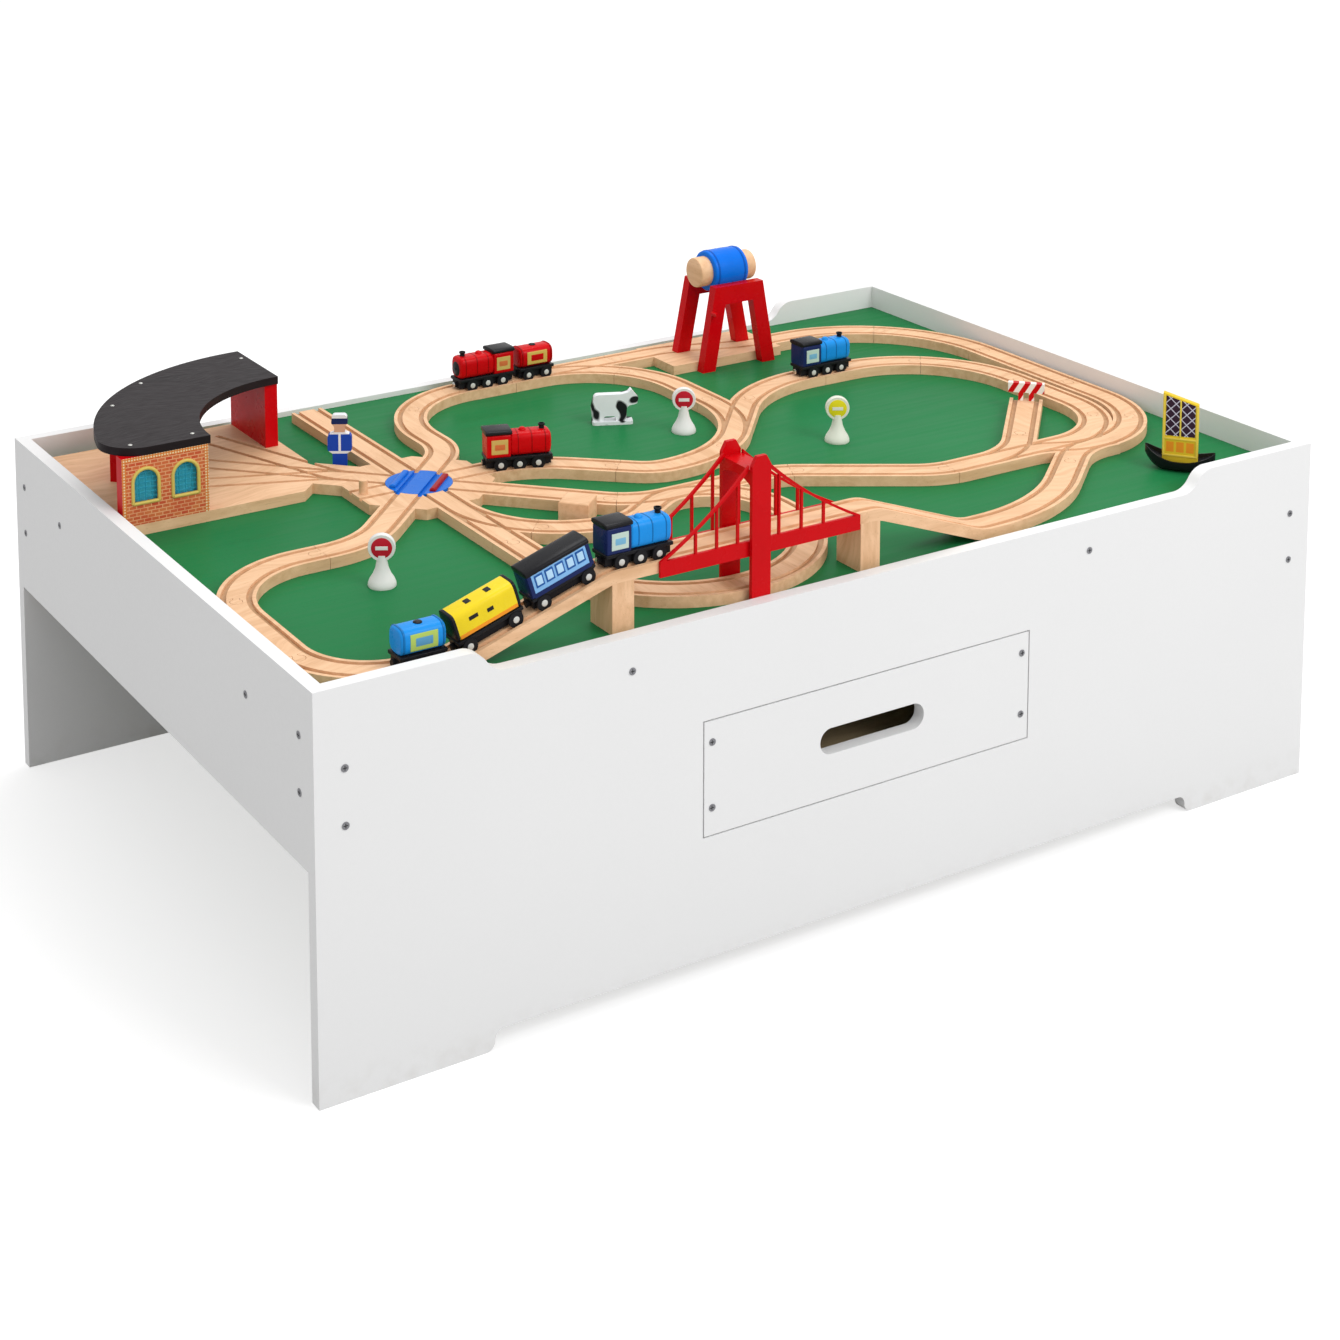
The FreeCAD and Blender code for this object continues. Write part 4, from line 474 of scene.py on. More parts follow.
def block(x: Pair, y: Pair, z: Pair, edge: float,
          power: float = 9.0, around: int = 40, steps: int = 4) -> Grid:
    """Rings along X of a block with superellipse sections and ends rounded by quarter circles.

    Each ring's section shrinks by edge (1 - sin t) while x advances by edge (1 - cos t).

    Args:
        x: ends along X.
        y: sides.
        z: underside and top.
        edge: radius of the ends' edges.
        power: of the superellipse, 2 round and 9 nearly square.
        around: points in a ring.
        steps: rings in each rounded end.

    Returns:
        Array (rings, points, 3).
    """
    t = np.linspace(0.0, math.pi / 2, steps)
    inset, ahead = edge * (1 - np.sin(t)), edge * (1 - np.cos(t))
    inset = np.concatenate([inset, inset[::-1]])
    along = np.concatenate([x[0] + ahead, x[1] - ahead[::-1]])
    ring = superellipse(around, power)
    half_y, half_z = (y[1] - y[0]) / 2 - inset, (z[1] - z[0]) / 2 - inset
    rings = np.zeros((len(along), around, 3))
    rings[..., 0] = along[:, None]
    rings[..., 1] = sum(y) / 2 + half_y[:, None] * ring[None, :, 0]
    rings[..., 2] = sum(z) / 2 + half_z[:, None] * ring[None, :, 1]
    return capped(rings)


def capped(rings: Grid) -> Grid:
    """The rings with a row at each end drawn in to its middle."""
    first = np.broadcast_to(rings[0].mean(0), rings[0].shape)[None]
    last = np.broadcast_to(rings[-1].mean(0), rings[-1].shape)[None]
    return np.concatenate([first, rings, last])


def turned(profile: Sequence[Pair], centre: Sequence[float], axis: str = "z",
           around: int = 32) -> Grid:
    """Turned piece: each profile point (radius, height) carried round the axis through the centre.

    Args:
        profile: points from one end to the other.
        centre: where height 0 lies.
        axis: "x", "y" or "z", with a leading "-" to point the other way.
        around: points in a ring.

    Returns:
        Array (rings, points, 3).
    """
    radius, height = np.array(profile, float).T
    angle = np.linspace(0.0, 2 * math.pi, around, endpoint=False)
    a = radius[:, None] * np.cos(angle)
    b = radius[:, None] * np.sin(angle)
    h = np.broadcast_to(height[:, None] * (-1 if axis[0] == "-" else 1), a.shape)
    order = {"x": (h, a, b), "y": (a, h, b), "z": (a, b, h)}[axis[-1]]
    return capped(np.stack(order, -1) + np.array(centre, float))


def tube(path: Grid, radius: float, around: int = 10) -> Grid:
    """Round bar along a closed or open path: rings square to the path's direction.

    The ring at each point is radius (cos t · side + sin t · depth), with depth fixed along Y.
    """
    ahead = np.gradient(path, axis=0)
    ahead /= np.linalg.norm(ahead, axis=1)[:, None]
    depth = np.array((0.0, 1.0, 0.0))
    side = np.cross(depth, ahead)
    turn = np.linspace(0.0, 2 * math.pi, around, endpoint=False)[:, None]
    return capped(path[:, None] + radius * (np.cos(turn) * side[:, None] + np.sin(turn) * depth))


Finish = Laminate | BoardPaint | Wood | Paint


class Shop:
    """Puts finished pieces into the scene, each with its material and body."""

    def __init__(self) -> None:
        """Start with no materials."""
        self.materials: dict[str, Material] = {}

    def finish(self, name: str, finish: Finish) -> Material:
        """Material of that name, made once."""
        if name not in self.materials:
            self.materials[name] = finish.make(name)
        return self.materials[name]

    def add(self, name: str, grids: Sequence[Grid], material: Material, body: str, slot: str,
            spot: Spot = ORIGIN, replaced: Sequence[str] = (), sharp: float = 38.0) -> bpy.types.Object:
        """Join grids of rings into one closed mesh piece.

        Args:
            name: the piece's name.
            grids: arrays (rings, points, 3) in millimetres of the piece's own frame.
            material: its finish.
            body: CAD body that carries it.
            slot: the record's material slot; not used.
            spot: place of the piece's own frame.
            replaced: CAD nodes that it stands for.
            sharp: angle in degrees past which an edge stays sharp.

        Returns:
            The new object.
        """
        points, faces, start = [], [], 0
        for grid in grids:
            rows, columns = grid.shape[:2]
            points.append(spot.to_table(grid.reshape(-1, 3)))
            faces.append(grid_faces(rows, columns) + start)
            start += rows * columns
        mesh = bpy.data.meshes.new(name)
        mesh.from_pydata(np.concatenate(points).tolist(), [], np.concatenate(faces).tolist())
        work = bmesh.new()
        work.from_mesh(mesh)
        bmesh.ops.remove_doubles(work, verts=work.verts, dist=1e-6)
        bmesh.ops.recalc_face_normals(work, faces=work.faces)
        work.to_mesh(mesh)
        work.free()
        mesh.polygons.foreach_set("use_smooth", np.ones(len(mesh.polygons), bool))
        mesh.set_sharp_from_angle(angle=math.radians(sharp))
        mesh.materials.append(material)
        piece = bpy.data.objects.new(name, mesh)
        bpy.context.scene.collection.objects.link(piece)
        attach(piece, body)
        if replaced:
            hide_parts(*replaced)
        LOG.info("%s: %d faces on %s", name, len(mesh.polygons), body)
        return piece

    def dress(self, name: str, finish: Finish, *nodes: str) -> None:
        """Give CAD nodes the finish of that name."""
        material = self.finish(name, finish)
        for node in nodes:
            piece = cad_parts[node]
            if not piece.material_slots:
                piece.data.materials.append(material)
            for holder in piece.material_slots:
                holder.material = material


@dataclass
class Table:
    """Panels, board, drawers and their screws."""

    shop: Shop
    front_y: float = 400.6
    end_x: float = 635.6
    recess_r: float = 2.3
    recess_w: float = 0.45
    recess_t: float = 0.12
    drawer_screws: tuple[Pair, ...] = ((201.5, 177.9), (201.5, 246.4))
    corner_screws: tuple[Pair, ...] = ((604.0, 322.0), (604.0, 267.0), (295.0, 341.5))
    end_screws: tuple[Pair, ...] = ((370.0, 349.0), (370.0, 294.0), (253.0, 341.5))

    def dress(self) -> None:
        """Finishes of the table's own nodes."""
        dress = self.shop.dress
        dress("panel_white", Laminate(), "front_panel", "back_panel", "left_end_panel", "right_end_panel",
              "front_drawer_face", "back_drawer_face")
        dress("board_green", BoardPaint(), "play_board")
        dress("rail_pine", Wood((0.66, 0.46, 0.25), (0.52, 0.32, 0.14), drift=0.04),
              "corner_blocks", "board_rails", "drawer_carriers", "drawer_stop")
        dress("drawer_plywood", Wood((0.70, 0.54, 0.33), (0.58, 0.41, 0.22), roughness=0.42),
              "front_drawer_box", "back_drawer_box")
        dress("screw_steel", Paint((0.34, 0.34, 0.36), 0.34, 1.0, 900.0),
              "front_drawer_screws", "back_drawer_screws", "panel_screws")

    def recess(self, x: float, y: float, z: float, axis: str) -> list[Grid]:
        """Painted shade of a driver recess: a dark cross of two thin bars lying on the screw's head."""
        r, w, t = self.recess_r, self.recess_w, self.recess_t
        sizes, edge = (((r, t, w), (w, t, r)), 0.1) if axis == "y" else (((t, r, w), (t, w, r)), 0.05)
        return [block((x - a, x + a), (y - b, y + b), (z - c, z + c), edge, around=12, steps=2)
                for a, b, c in sizes]

    def build(self) -> None:
        """Painted-shade crosses for the recesses of all screws, on the body that carries them."""
        # Painted shade: near-black bars stand in for the shade inside each cross recess.
        dark = self.shop.finish("recess_painted_shade", Paint((0.03, 0.03, 0.03), 0.5))
        bars = []
        for side in (-1, 1):
            for end in (-1, 1):
                for x, z in self.corner_screws:
                    bars += self.recess(end * x, side * self.front_y, z, "y")
                for y, z in self.end_screws:
                    bars += self.recess(side * self.end_x, end * y, z, "x")
        self.shop.add("panel_screw_recess_shade", bars, dark, "table", "dark_screw")
        for name, side in (("front_drawer", -1), ("back_drawer", 1)):
            bars = []
            for end in (-1, 1):
                for x, z in self.drawer_screws:
                    bars += self.recess(end * x, side * self.front_y, z, "y")
            self.shop.add(name + "_screw_recess_shade", bars, dark, name, "dark_screw")


@dataclass
class Railway:
    """Wooden track, turntable, ramps and buffers."""

    shop: Shop
    disc: Spot = Spot(-0.278, 0.067, 0.382, 45.0)
    ridge: Pair = (19.0, 31.0)
    buffer: Spot = Spot(0.0, 0.0, 0.382, 50.0)
    # Height band of the groove floors that get painted shade.
    groove_shade_z: Pair = (0.3785, 0.3812)

    def dress(self) -> None:
        """Finishes of the railway's nodes."""
        dress = self.shop.dress
        dress("track_beech", Wood(groove_shade_z=self.groove_shade_z), "left_loop_track", "right_ring_track",
              "outer_loop_track", "bridge_ramps", "bridge_deck", "shed_floor", "tower_plate", "track_block")
        dress("track_beech_across", Wood(grain=Direction.ACROSS, groove_shade_z=self.groove_shade_z),
              "left_ring_track", "coil_track", "siding_tracks", "turntable_base")
        dress("pier_beech", Wood(grain=Direction.UP), "bridge_piers")
        low, high = self.ridge
        red_ridge = Area(DEEP_RED, y=(-high, -low), z=(0.2, 9.0))
        dress("disc_blue", Printed((0.005, 0.14, 0.60), spot=self.disc, areas=(red_ridge,)), "turntable_disc")
        dress("buffer_stripes", Stripes(RED, spot=self.buffer, second=(0.85, 0.82, 0.78)), "siding_buffer")


@dataclass
class Buildings:
    """Engine shed, water tower and bridge."""

    shop: Shop
    window_x: Pair = (-588.0, -542.0)
    window_y: float = 108.0
    sill_z: float = 406.0
    half_w: float = 15.0
    window_h: float = 38.0
    spring_z: float = 429.0
    frame_r: float = 2.0
    roof_top: float = 467.0
    roof_screws: tuple[Pair, ...] = (
        (-370.0, 345.0), (-509.0, 318.0), (-567.0, 258.0), (-527.0, 123.0), (-599.0, 123.0))
    barrel: Spot = Spot(0.2945, 0.293, 0.49476)
    barrel_half: float = 26.0
    barrel_r: float = 26.5
    plug_r: float = 19.5

    def dress(self) -> None:
        """Finishes of the buildings' nodes."""
        dress = self.shop.dress
        dress("shed_brick", BrickPrint(RED), "shed_walls")
        dress("window_cyan", Paint((0.07, 0.50, 0.66), 0.12), "shed_windows")
        roof = Wood((0.017, 0.012, 0.014), (0.011, 0.008, 0.009), roughness=0.42, gloss=0.12)
        dress("roof_brown", roof, "shed_roof")
        dress("moulded_red", Paint(RED, 0.24), "bridge_girders", "bridge_tower", "tower_frames")

    def window_frame(self, x: float) -> list[Grid]:
        """Rim of one arched window: sides with a half circle over them, and the sill."""
        half, spring = self.half_w, self.spring_z
        y = self.window_y - 0.2
        turn = np.linspace(0.0, math.pi, 25)
        head = np.stack([x + half * np.cos(turn), np.full(25, y), spring + half * np.sin(turn)], -1)
        right, left = (x + half, y, self.sill_z), (x - half, y, self.sill_z)
        outline = np.concatenate([[right], head, [left]])
        return [tube(outline, self.frame_r), tube(np.linspace(left, right, 6), self.frame_r)]

    def window_bars(self, x: float) -> list[Grid]:
        """Thin bars across and up one window, each ending on the arch."""
        half, spring = self.half_w, self.spring_z
        y = self.window_y + 1.2
        bars = []
        for k in range(1, 7):
            z = self.sill_z + k * self.window_h / 7
            reach = half if z < spring else math.sqrt(half ** 2 - (z - spring) ** 2)
            bars.append(tube(np.linspace((x - reach, y, z), (x + reach, y, z), 4), 0.5))
        for share in (-0.5, 0.0, 0.5):
            top = spring + half * math.sqrt(1 - share ** 2)
            ends = [(x + share * half, y, z) for z in (self.sill_z, top)]
            bars.append(tube(np.linspace(*ends, 4), 0.6))
        return bars

    def build(self) -> None:
        """Window frames, roof screws and barrel bands."""
        gold = self.shop.finish("frame_gold", Paint((0.66, 0.50, 0.12), 0.35))
        bars = [bar for x in self.window_x for bar in self.window_frame(x)]
        self.shop.add("shed_window_frames", bars, gold, "table", "red_brick")
        teal = self.shop.finish("bar_teal", Paint((0.02, 0.28, 0.42), 0.3))
        bars = [bar for x in self.window_x for bar in self.window_bars(x)]
        self.shop.add("shed_window_bars", bars, teal, "table", "red_brick")
        pale = self.shop.finish("roof_screw", Paint((0.55, 0.55, 0.52), 0.35, 0.6))
        profile = [(2.4, -0.4), (2.4, 0.3), (1.6, 0.8)]
        heads = [turned(profile, (x, y, self.roof_top), around=20) for x, y in self.roof_screws]
        self.shop.add("roof_screws", heads, pale, "table", "roof_brown")
        self.build_barrel()

    def build_barrel(self) -> None:
        """Turned barrel with rounded rims and a band near each, and a longer plug at each end."""
        half, r, plug = self.barrel_half, self.barrel_r, self.plug_r
        swell = [(r + 0.4 * math.cos(math.pi * t / 2), half * 0.8 * t) for t in np.linspace(-1.0, 1.0, 9)]
        rim = [(r - 4.0, half), (r - 1.6, half - 0.3), (r - 0.3, half - 1.6), (r, half - 4.0)]
        shell = [(a, -h) for a, h in rim] + swell + rim[::-1]
        blue = self.shop.finish("barrel_blue", Paint((0.003, 0.155, 0.72), 0.2))
        self.shop.add("barrel_shell", [turned(shell, (0, 0, 0), "x", 64)], blue, "barrel", "barrel_blue",
                      self.barrel, ("water_barrel",))
        deep = self.shop.finish("barrel_band", Paint((0.002, 0.09, 0.46), 0.25))
        band = [(r, -1.4), (r + 0.5, -1.0), (r + 0.5, 1.0), (r, 1.4)]
        rings = [turned(band, (x, 0, 0), "x", 64) for x in (6.0 - half, half - 6.0)]
        self.shop.add("barrel_bands", rings, deep, "barrel", "barrel_blue", self.barrel)
        end = [(plug, half - 2.0), (plug, half + 15.0), (plug - 0.6, half + 16.6), (plug - 2.2, half + 17.4)]
        wood = self.shop.finish("plug_beech", Wood(grain=Direction.ACROSS))
        ends = [turned(end, (0, 0, 0), axis, 48) for axis in ("x", "-x")]
        self.shop.add("barrel_ends", ends, wood, "barrel", "beech_track", self.barrel, ("barrel_plugs",))


class Kind(Enum):
    """What a vehicle is: the method that makes its shells, its half length and its axles' places."""

    ENGINE = ("engine", 38.0, (-22.0, 0.0, 22.0))
    TENDER = ("tender", 24.0, (-13.0, 13.0))
    COACH = ("coach", 36.0, (-26.0, 26.0))
    CAR = ("car", 36.0, (-26.0, 26.0))

    def __init__(self, part: str, half: float, axles: tuple[float, ...]) -> None:
        """Name the three parts of the value."""
        self.part, self.half, self.axles = part, half, axles


@dataclass(frozen=True)
class Livery:
    """Colours of one vehicle."""

    main: Colour
    cab: Colour
    panel: Colour
    mark: Colour
    slot: str


@dataclass
class Vehicle:
    """One engine, tender or coach: shells over the CAD running gear."""

    shop: Shop
    name: str
    kind: Kind
    spot: Spot
    livery: Livery
    width: float = 13.4
    floor_z: float = 12.9
    deck_z: float = 17.0
    body_z: float = 16.4
    wheel_r: float = 8.0
    tyre_y: float = 12.9
    hub_y: float = 14.4
    hub_r: float = 3.3

    def paint(self, colour: Colour) -> Material:
        """Gloss paint shared by all parts of one colour."""
        key = "paint_" + "_".join(f"{round(c * 999):03d}" for c in colour)
        return self.shop.finish(key, Paint(colour, 0.25))

    def put(self, part: str, grids: Sequence[Grid], colour: Colour, replaced: Sequence[str] = ()) -> None:
        """Add one part of the vehicle."""
        slot = self.livery.slot if colour != INK else "gear_black"
        self.shop.add(f"{self.name}_{part}", grids, self.paint(colour), self.name, slot, self.spot, replaced)

    def both_sides(self, x: Pair, z: Pair, depth: float, power: float = 9.0,
                   edge: float = 0.25) -> list[Grid]:
        """Thin plate on each side of the body, standing a little proud."""
        w = self.width
        return [block(x, side, z, edge, power) for side in ((w - 1.0, w + depth), (-w - depth, 1.0 - w))]

    def at_wheels(self, profile: Sequence[Pair], y: float, around: int) -> list[Grid]:
        """The turned profile on both wheels of each axle, facing outwards at y."""
        return [turned(profile, (x, side * y, self.wheel_r), "y" if side > 0 else "-y", around)
                for x in self.kind.axles for side in (-1, 1)]

    def running(self) -> None:
        """Footplate over the wheels, hub caps and coupler magnets."""
        half, w = self.kind.half, self.width
        plate = [block((-half - 1, half + 1), (-w, w), (self.floor_z, self.deck_z), 0.8)]
        self.put("footplate", plate, INK, (self.name + "_body",))
        tyre = [(6.4, -1.45), (7.5, -1.4), (7.9, -1.1), (7.9, 1.1), (7.5, 1.4), (6.4, 1.45), (6.0, 1.1),
                (4.4, 1.0)]
        self.put("tyres", self.at_wheels(tyre, self.tyre_y, 40), INK)
        cap = [(self.hub_r, -0.3), (self.hub_r, 0.3), (self.hub_r * 0.8, 0.75), (1.2, 0.9)]
        grey = self.shop.finish("hub_grey", Paint((0.58, 0.58, 0.55), 0.3))
        hubs = self.at_wheels(cap, self.hub_y, 24)
        self.shop.add(self.name + "_hubs", hubs, grey, self.name, "gear_black", self.spot)
        tip = half + 3.4 + (0.3 if self.kind is Kind.ENGINE else 0.0)
        disc = [(3.4, -0.4), (3.4, 0.05), (2.9, 0.25)]
        discs = [turned(disc, (tip, 0.0, 8.6), "x", 24), turned(disc, (-tip, 0.0, 8.6), "-x", 24)]
        steel = self.shop.finish("magnet_steel", Paint(SILVER, 0.25, 1.0))
        self.shop.add(self.name + "_magnets", discs, steel, self.name, "gear_black", self.spot)

    def engine(self) -> None:
        """Tank engine: rounded tank with bands, cab with side plates, roof, chimney, dome and door."""
        w, low = self.width, self.body_z
        self.put("tank", [block((-11.0, 38.0), (-w, w), (low, 44.0), 4.2, 3.6, 56, 7)], self.livery.main)
        bands = [block((x, x + 1.3), (-w - 0.3, w + 0.3), (low + 0.5, 44.3), 0.2, 3.6, 56)
                 for x in (-2.0, 14.0, 30.0)]
        self.put("bands", bands, shade(self.livery.main, 0.55))
        self.put("cab", [block((-38.0, -10.0), (-w - 0.2, w + 0.2), (low, 43.5), 0.9, 11.0)], self.livery.cab)
        self.put("plates", self.both_sides((-33.0, -13.5), (21.0, 38.0), 0.55), self.livery.panel)
        self.put("marks", self.both_sides((-29.0, -17.0), (24.5, 34.0), 0.8, 2.0), self.livery.mark)
        self.put("roof", [block((-39.5, -8.5), (-w - 1.0, w + 1.0), (42.4, 48.6), 0.9, 3.4)], INK)
        chimney = [(3.2, 0.0), (3.0, 4.5), (4.0, 5.5), (4.0, 7.2), (3.0, 7.4), (2.7, 5.0)]
        self.put("chimney", [turned(chimney, (29.0, 0.0, 42.3))], INK)
        dome = [(4.6, 0.0), (4.4, 1.6), (3.4, 3.4), (1.6, 4.4)]
        self.put("dome", [turned(dome, (6.0, 0.0, 42.8))], self.livery.main)
        door = [(9.2, -0.5), (9.2, 0.4), (8.2, 1.0), (2.4, 1.4), (2.2, 2.0), (1.0, 2.4)]
        self.put("smokebox_door", [turned(door, (37.6, 0.0, 28.5), "x")], INK)

    def tender(self) -> None:
        """Round-topped tender with a rim at each end and an oval plate on each side."""
        w, low, half = self.width, self.body_z, self.kind.half
        self.put("barrel", [block((-half, half), (-w, w), (low, 42.5), 3.0, 3.1, 56, 6)], self.livery.main)
        rims = [block((x, x + 2.2), (-w - 0.5, w + 0.5), (low + 0.3, 43.1), 0.5, 3.1, 56)
                for x in (2.0 - half, half - 4.2)]
        self.put("rims", rims, shade(self.livery.main, 0.6))
        self.put("plates", self.both_sides((-14.5, 14.5), (21.0, 37.5), 0.45, 2.2, 0.2), self.livery.panel)
        self.put("marks", self.both_sides((-9.0, 9.0), (24.5, 34.0), 0.75, 2.2, 0.2), self.livery.mark)
        hatch = [(4.4, -0.8), (4.4, 1.0), (3.4, 1.7)]
        self.put("hatch", [turned(hatch, (0.0, 0.0, 42.1))], INK)

    def coach(self) -> None:
        """Coach: pale sides with five framed windows, dark ends and a black bowed roof."""
        w, low, half = self.width, self.body_z, self.kind.half
        self.put("sides", [block((-half + 2, half - 2), (-w, w), (low, 40.5), 0.6, 12.0)], self.livery.main)
        ends = [block((x, x + 4.5), (-w - 0.3, w + 0.3), (low, 41.0), 0.6, 12.0) for x in (-half, half - 4.5)]
        ends += self.both_sides((-half + 3, half - 3), (low, 21.0), 0.35)
        self.put("ends", ends, self.livery.cab)
        pitch = (2 * half - 12.0) / 5
        frames, panes = [], []
        for k in range(5):
            x = -half + 6.0 + pitch * (k + 0.5)
            frames += self.both_sides((x - pitch * 0.40, x + pitch * 0.40), (25.5, 38.5), 0.5)
            panes += self.both_sides((x - pitch * 0.28, x + pitch * 0.28), (27.6, 36.6), 0.75)
        self.put("window_frames", frames, self.livery.panel)
        self.put("window_panes", panes, self.livery.mark)
        roof = block((-half - 0.8, half + 0.8), (-w - 1.0, w + 1.0), (38.6, 46.2), 1.2, 3.0, 56)
        self.put("roof", [roof], INK)

    def car(self) -> None:
        """Closed car: rounded body, dark ends, two small side openings and a coloured line low down."""
        w, low, half = self.width, self.body_z, self.kind.half
        body = block((-half + 2, half - 2), (-w, w), (low, 44.0), 1.4, 5.0, 56)
        self.put("sides", [body], self.livery.main)
        ends = [block((x, x + 3.4), (-w - 0.3, w + 0.3), (low, 44.3), 0.7, 5.0, 56)
                for x in (-half, half - 3.4)]
        self.put("ends", ends, self.livery.cab)
        openings = self.both_sides((-19.0, -9.0), (32.0, 36.0), 0.4)
        openings += self.both_sides((1.0, 8.0), (30.0, 34.0), 0.4)
        openings += [block((x, x + 6.0), (-4.0, 4.0), (43.0, 44.4), 0.3) for x in (9.0, -14.0)]
        self.put("openings", openings, self.livery.panel)
        self.put("line", self.both_sides((-half + 3.6, half - 3.6), (19.0, 22.4), 0.35), self.livery.mark)

    def build(self) -> None:
        """All parts of the vehicle, and the finish of its gear."""
        self.shop.dress("gear_black", Paint(INK, 0.42, peel=500.0), self.name + "_gear")
        self.running()
        getattr(self, self.kind.part)()


@dataclass
class SmallPieces:
    """Signs, cow, guard and barge."""

    shop: Shop
    sign_heading: float = -30.0
    stop_signs: tuple[Pair, ...] = ((-0.436, -0.149), (0.092, 0.082))
    round_sign: Pair = (0.229, -0.041)
    board_top: float = 0.370
    guard: Spot = Spot(-0.320, 0.182, 0.370, -30.0)
    barge: Spot = Spot(0.506, -0.323, 0.370, -50.0)

    def sign(self, name: str, place: Pair, body: Colour, disc: Colour) -> None:
        """Round-headed wooden sign: rounded foot, tapered post, thick head and a disc on each face.

        Args:
            name: of the sign.
            place: on the board.
            body: colour of the wood.
            disc: colour of the disc.
        """
        spot = Spot(*place, self.board_top, self.sign_heading)
        foot = [(14.4, 0.0), (14.8, 1.0), (14.5, 4.0), (12.8, 8.0), (9.6, 13.0), (7.0, 19.0), (5.6, 26.0),
                (5.4, 33.0)]
        head = [(13.6, -3.6), (14.2, -2.8), (14.2, 2.8), (13.6, 3.6)]
        wood = self.shop.finish(name + "_wood", Paint(body, 0.38))
        grids = [turned(foot, (0, 0, 0), around=40), turned(head, (0, 0, 41.0), "y", 48)]
        self.shop.add(name, grids, wood, "table", "sign_wood", spot, ("signs",))
        ring = [(10.8, 3.5), (10.8, 3.9), (10.4, 4.1)]
        bar = block((-6.4, 6.4), (3.6, 4.4), (39.0, 43.0), 0.2)
        discs = [turned(ring, (0, 0, 41.0), axis, 48) for axis in ("y", "-y")]
        self.shop.add(name + "_discs", discs, self.shop.finish(name + "_disc", Paint(disc, 0.3)),
                      "table", "sign_wood", spot)
        bars = [bar, bar * np.array((1.0, -1.0, 1.0))]
        self.shop.add(name + "_bars", bars, wood, "table", "sign_wood", spot)

    def build(self) -> None:
        """All signs, and the finishes of the figures and the barge."""
        for side, place in zip(("left", "right"), self.stop_signs):
            self.sign(f"{side}_stop_sign", place, (0.76, 0.76, 0.74), (0.50, 0.015, 0.03))
        self.sign("round_sign", self.round_sign, (0.74, 0.76, 0.66), (0.74, 0.66, 0.02))
        dress = self.shop.dress
        dress("sign_white", Paint((0.76, 0.76, 0.74), 0.38), "signs")
        dress("cow_coat", Patches((0.78, 0.80, 0.82), 0.4), "cow_board")
        skin, blue, white = (0.62, 0.36, 0.24), (0.012, 0.06, 0.42), (0.75, 0.77, 0.80)
        areas = (Area(INK, z=(-1.0, 4.0)), Area(blue, z=(4.0, 20.0)), Area(white, z=(20.0, 23.0)),
                 Area(blue, z=(23.0, 43.0)), Area(white, x=(-1.4, 1.4), z=(23.0, 43.0)),
                 Area(skin, z=(45.5, 55.0)), Area(NAVY, z=(55.0, 62.0)))
        dress("guard_print", Printed(white, 0.35, spot=self.guard, areas=areas), "guard_board")
        self.build_barge()

    def build_barge(self) -> None:
        """Crescent hull with a sunk deck, and an upright framed panel with a lattice and three cells."""
        hull = self.hull(39.5, 18.5, (27.0, 13.0, 23.0))
        black = self.shop.finish("hull_black", Paint(INK, 0.2))
        self.shop.add("barge_boat", [hull], black, "table", "hull_black", self.barge, ("barge_hull",), 50.0)
        purple, w = (0.035, 0.014, 0.03), 16.5
        fields = [Area(purple, x=side, y=(-6.0, -4.3), z=(40.0, 999.0)) for side in ((-w, -0.9), (0.9, w))]
        cells = [Area(ORANGE, x=(x - 4.3, x + 4.3), y=(-6.0, -4.3), z=(21.0, 33.0))
                 for x in (-11.2, 0.0, 11.2)]
        panel = Lattice((0.74, 0.52, 0.03), 0.34, spot=self.barge, areas=(*fields, *cells))
        printed = self.shop.finish("panel_print", panel)
        sail = self.slab(20.0, (7.5, 90.5, 78.5), 4.5)
        self.shop.add("barge_sail", [sail], printed, "table", "panel_yellow", self.barge, ("barge_panel",))
        places = (((-19.6, -17.4), (16.0, 88.0)), ((17.4, 19.6), (16.0, 77.0)), ((-19.6, 19.6), (35.6, 37.6)),
                  ((-19.6, 19.6), (16.0, 18.0)), ((-0.9, 0.9), (37.0, 82.0)))
        bars = [block(x, (-5.3, -4.2), z, 0.3, around=20, steps=3) for x, z in places]
        gold = self.shop.finish("bar_gold", Paint((0.80, 0.60, 0.08), 0.3))
        self.shop.add("barge_bars", bars, gold, "table", "panel_yellow", self.barge)

    def hull(self, half: float, beam: float, rise: tuple[float, float, float]) -> Grid:
        """Boat rings along X: sheer parabola from bow to deck to stern, width beam (1 - u^2)^0.6.

        Args:
            half: half length.
            beam: half width amidships.
            rise: heights of the bow, the deck amidships and the stern.

        Returns:
            Array (rings, points, 3), each ring running keel, side, rim, deck and back.
        """
        u = np.linspace(-0.995, 0.995, 41)
        bow, deck, stern = rise
        sheer = deck + np.where(u < 0, bow - deck, stern - deck) * np.abs(u) ** 2.2
        keel = np.clip(np.abs(u) - 0.45, 0.0, 1.0) ** 1.5 * sheer * 1.6
        width = beam * (1 - u ** 2) ** 0.6
        share = np.array((0.0, 0.55, 0.86, 1.0, 0.9, 0.8, 0.0, -0.8, -0.9, -1.0, -0.86, -0.55))
        level = np.array((0.0, 0.04, 0.35, 1.0, 1.0, 0.72, 0.68, 0.72, 1.0, 1.0, 0.35, 0.04))
        rings = np.zeros((len(u), len(share), 3))
        rings[..., 0] = (half * u)[:, None]
        rings[..., 1] = width[:, None] * share
        rings[..., 2] = keel[:, None] + (sheer - np.minimum(keel, sheer))[:, None] * level
        return capped(rings)

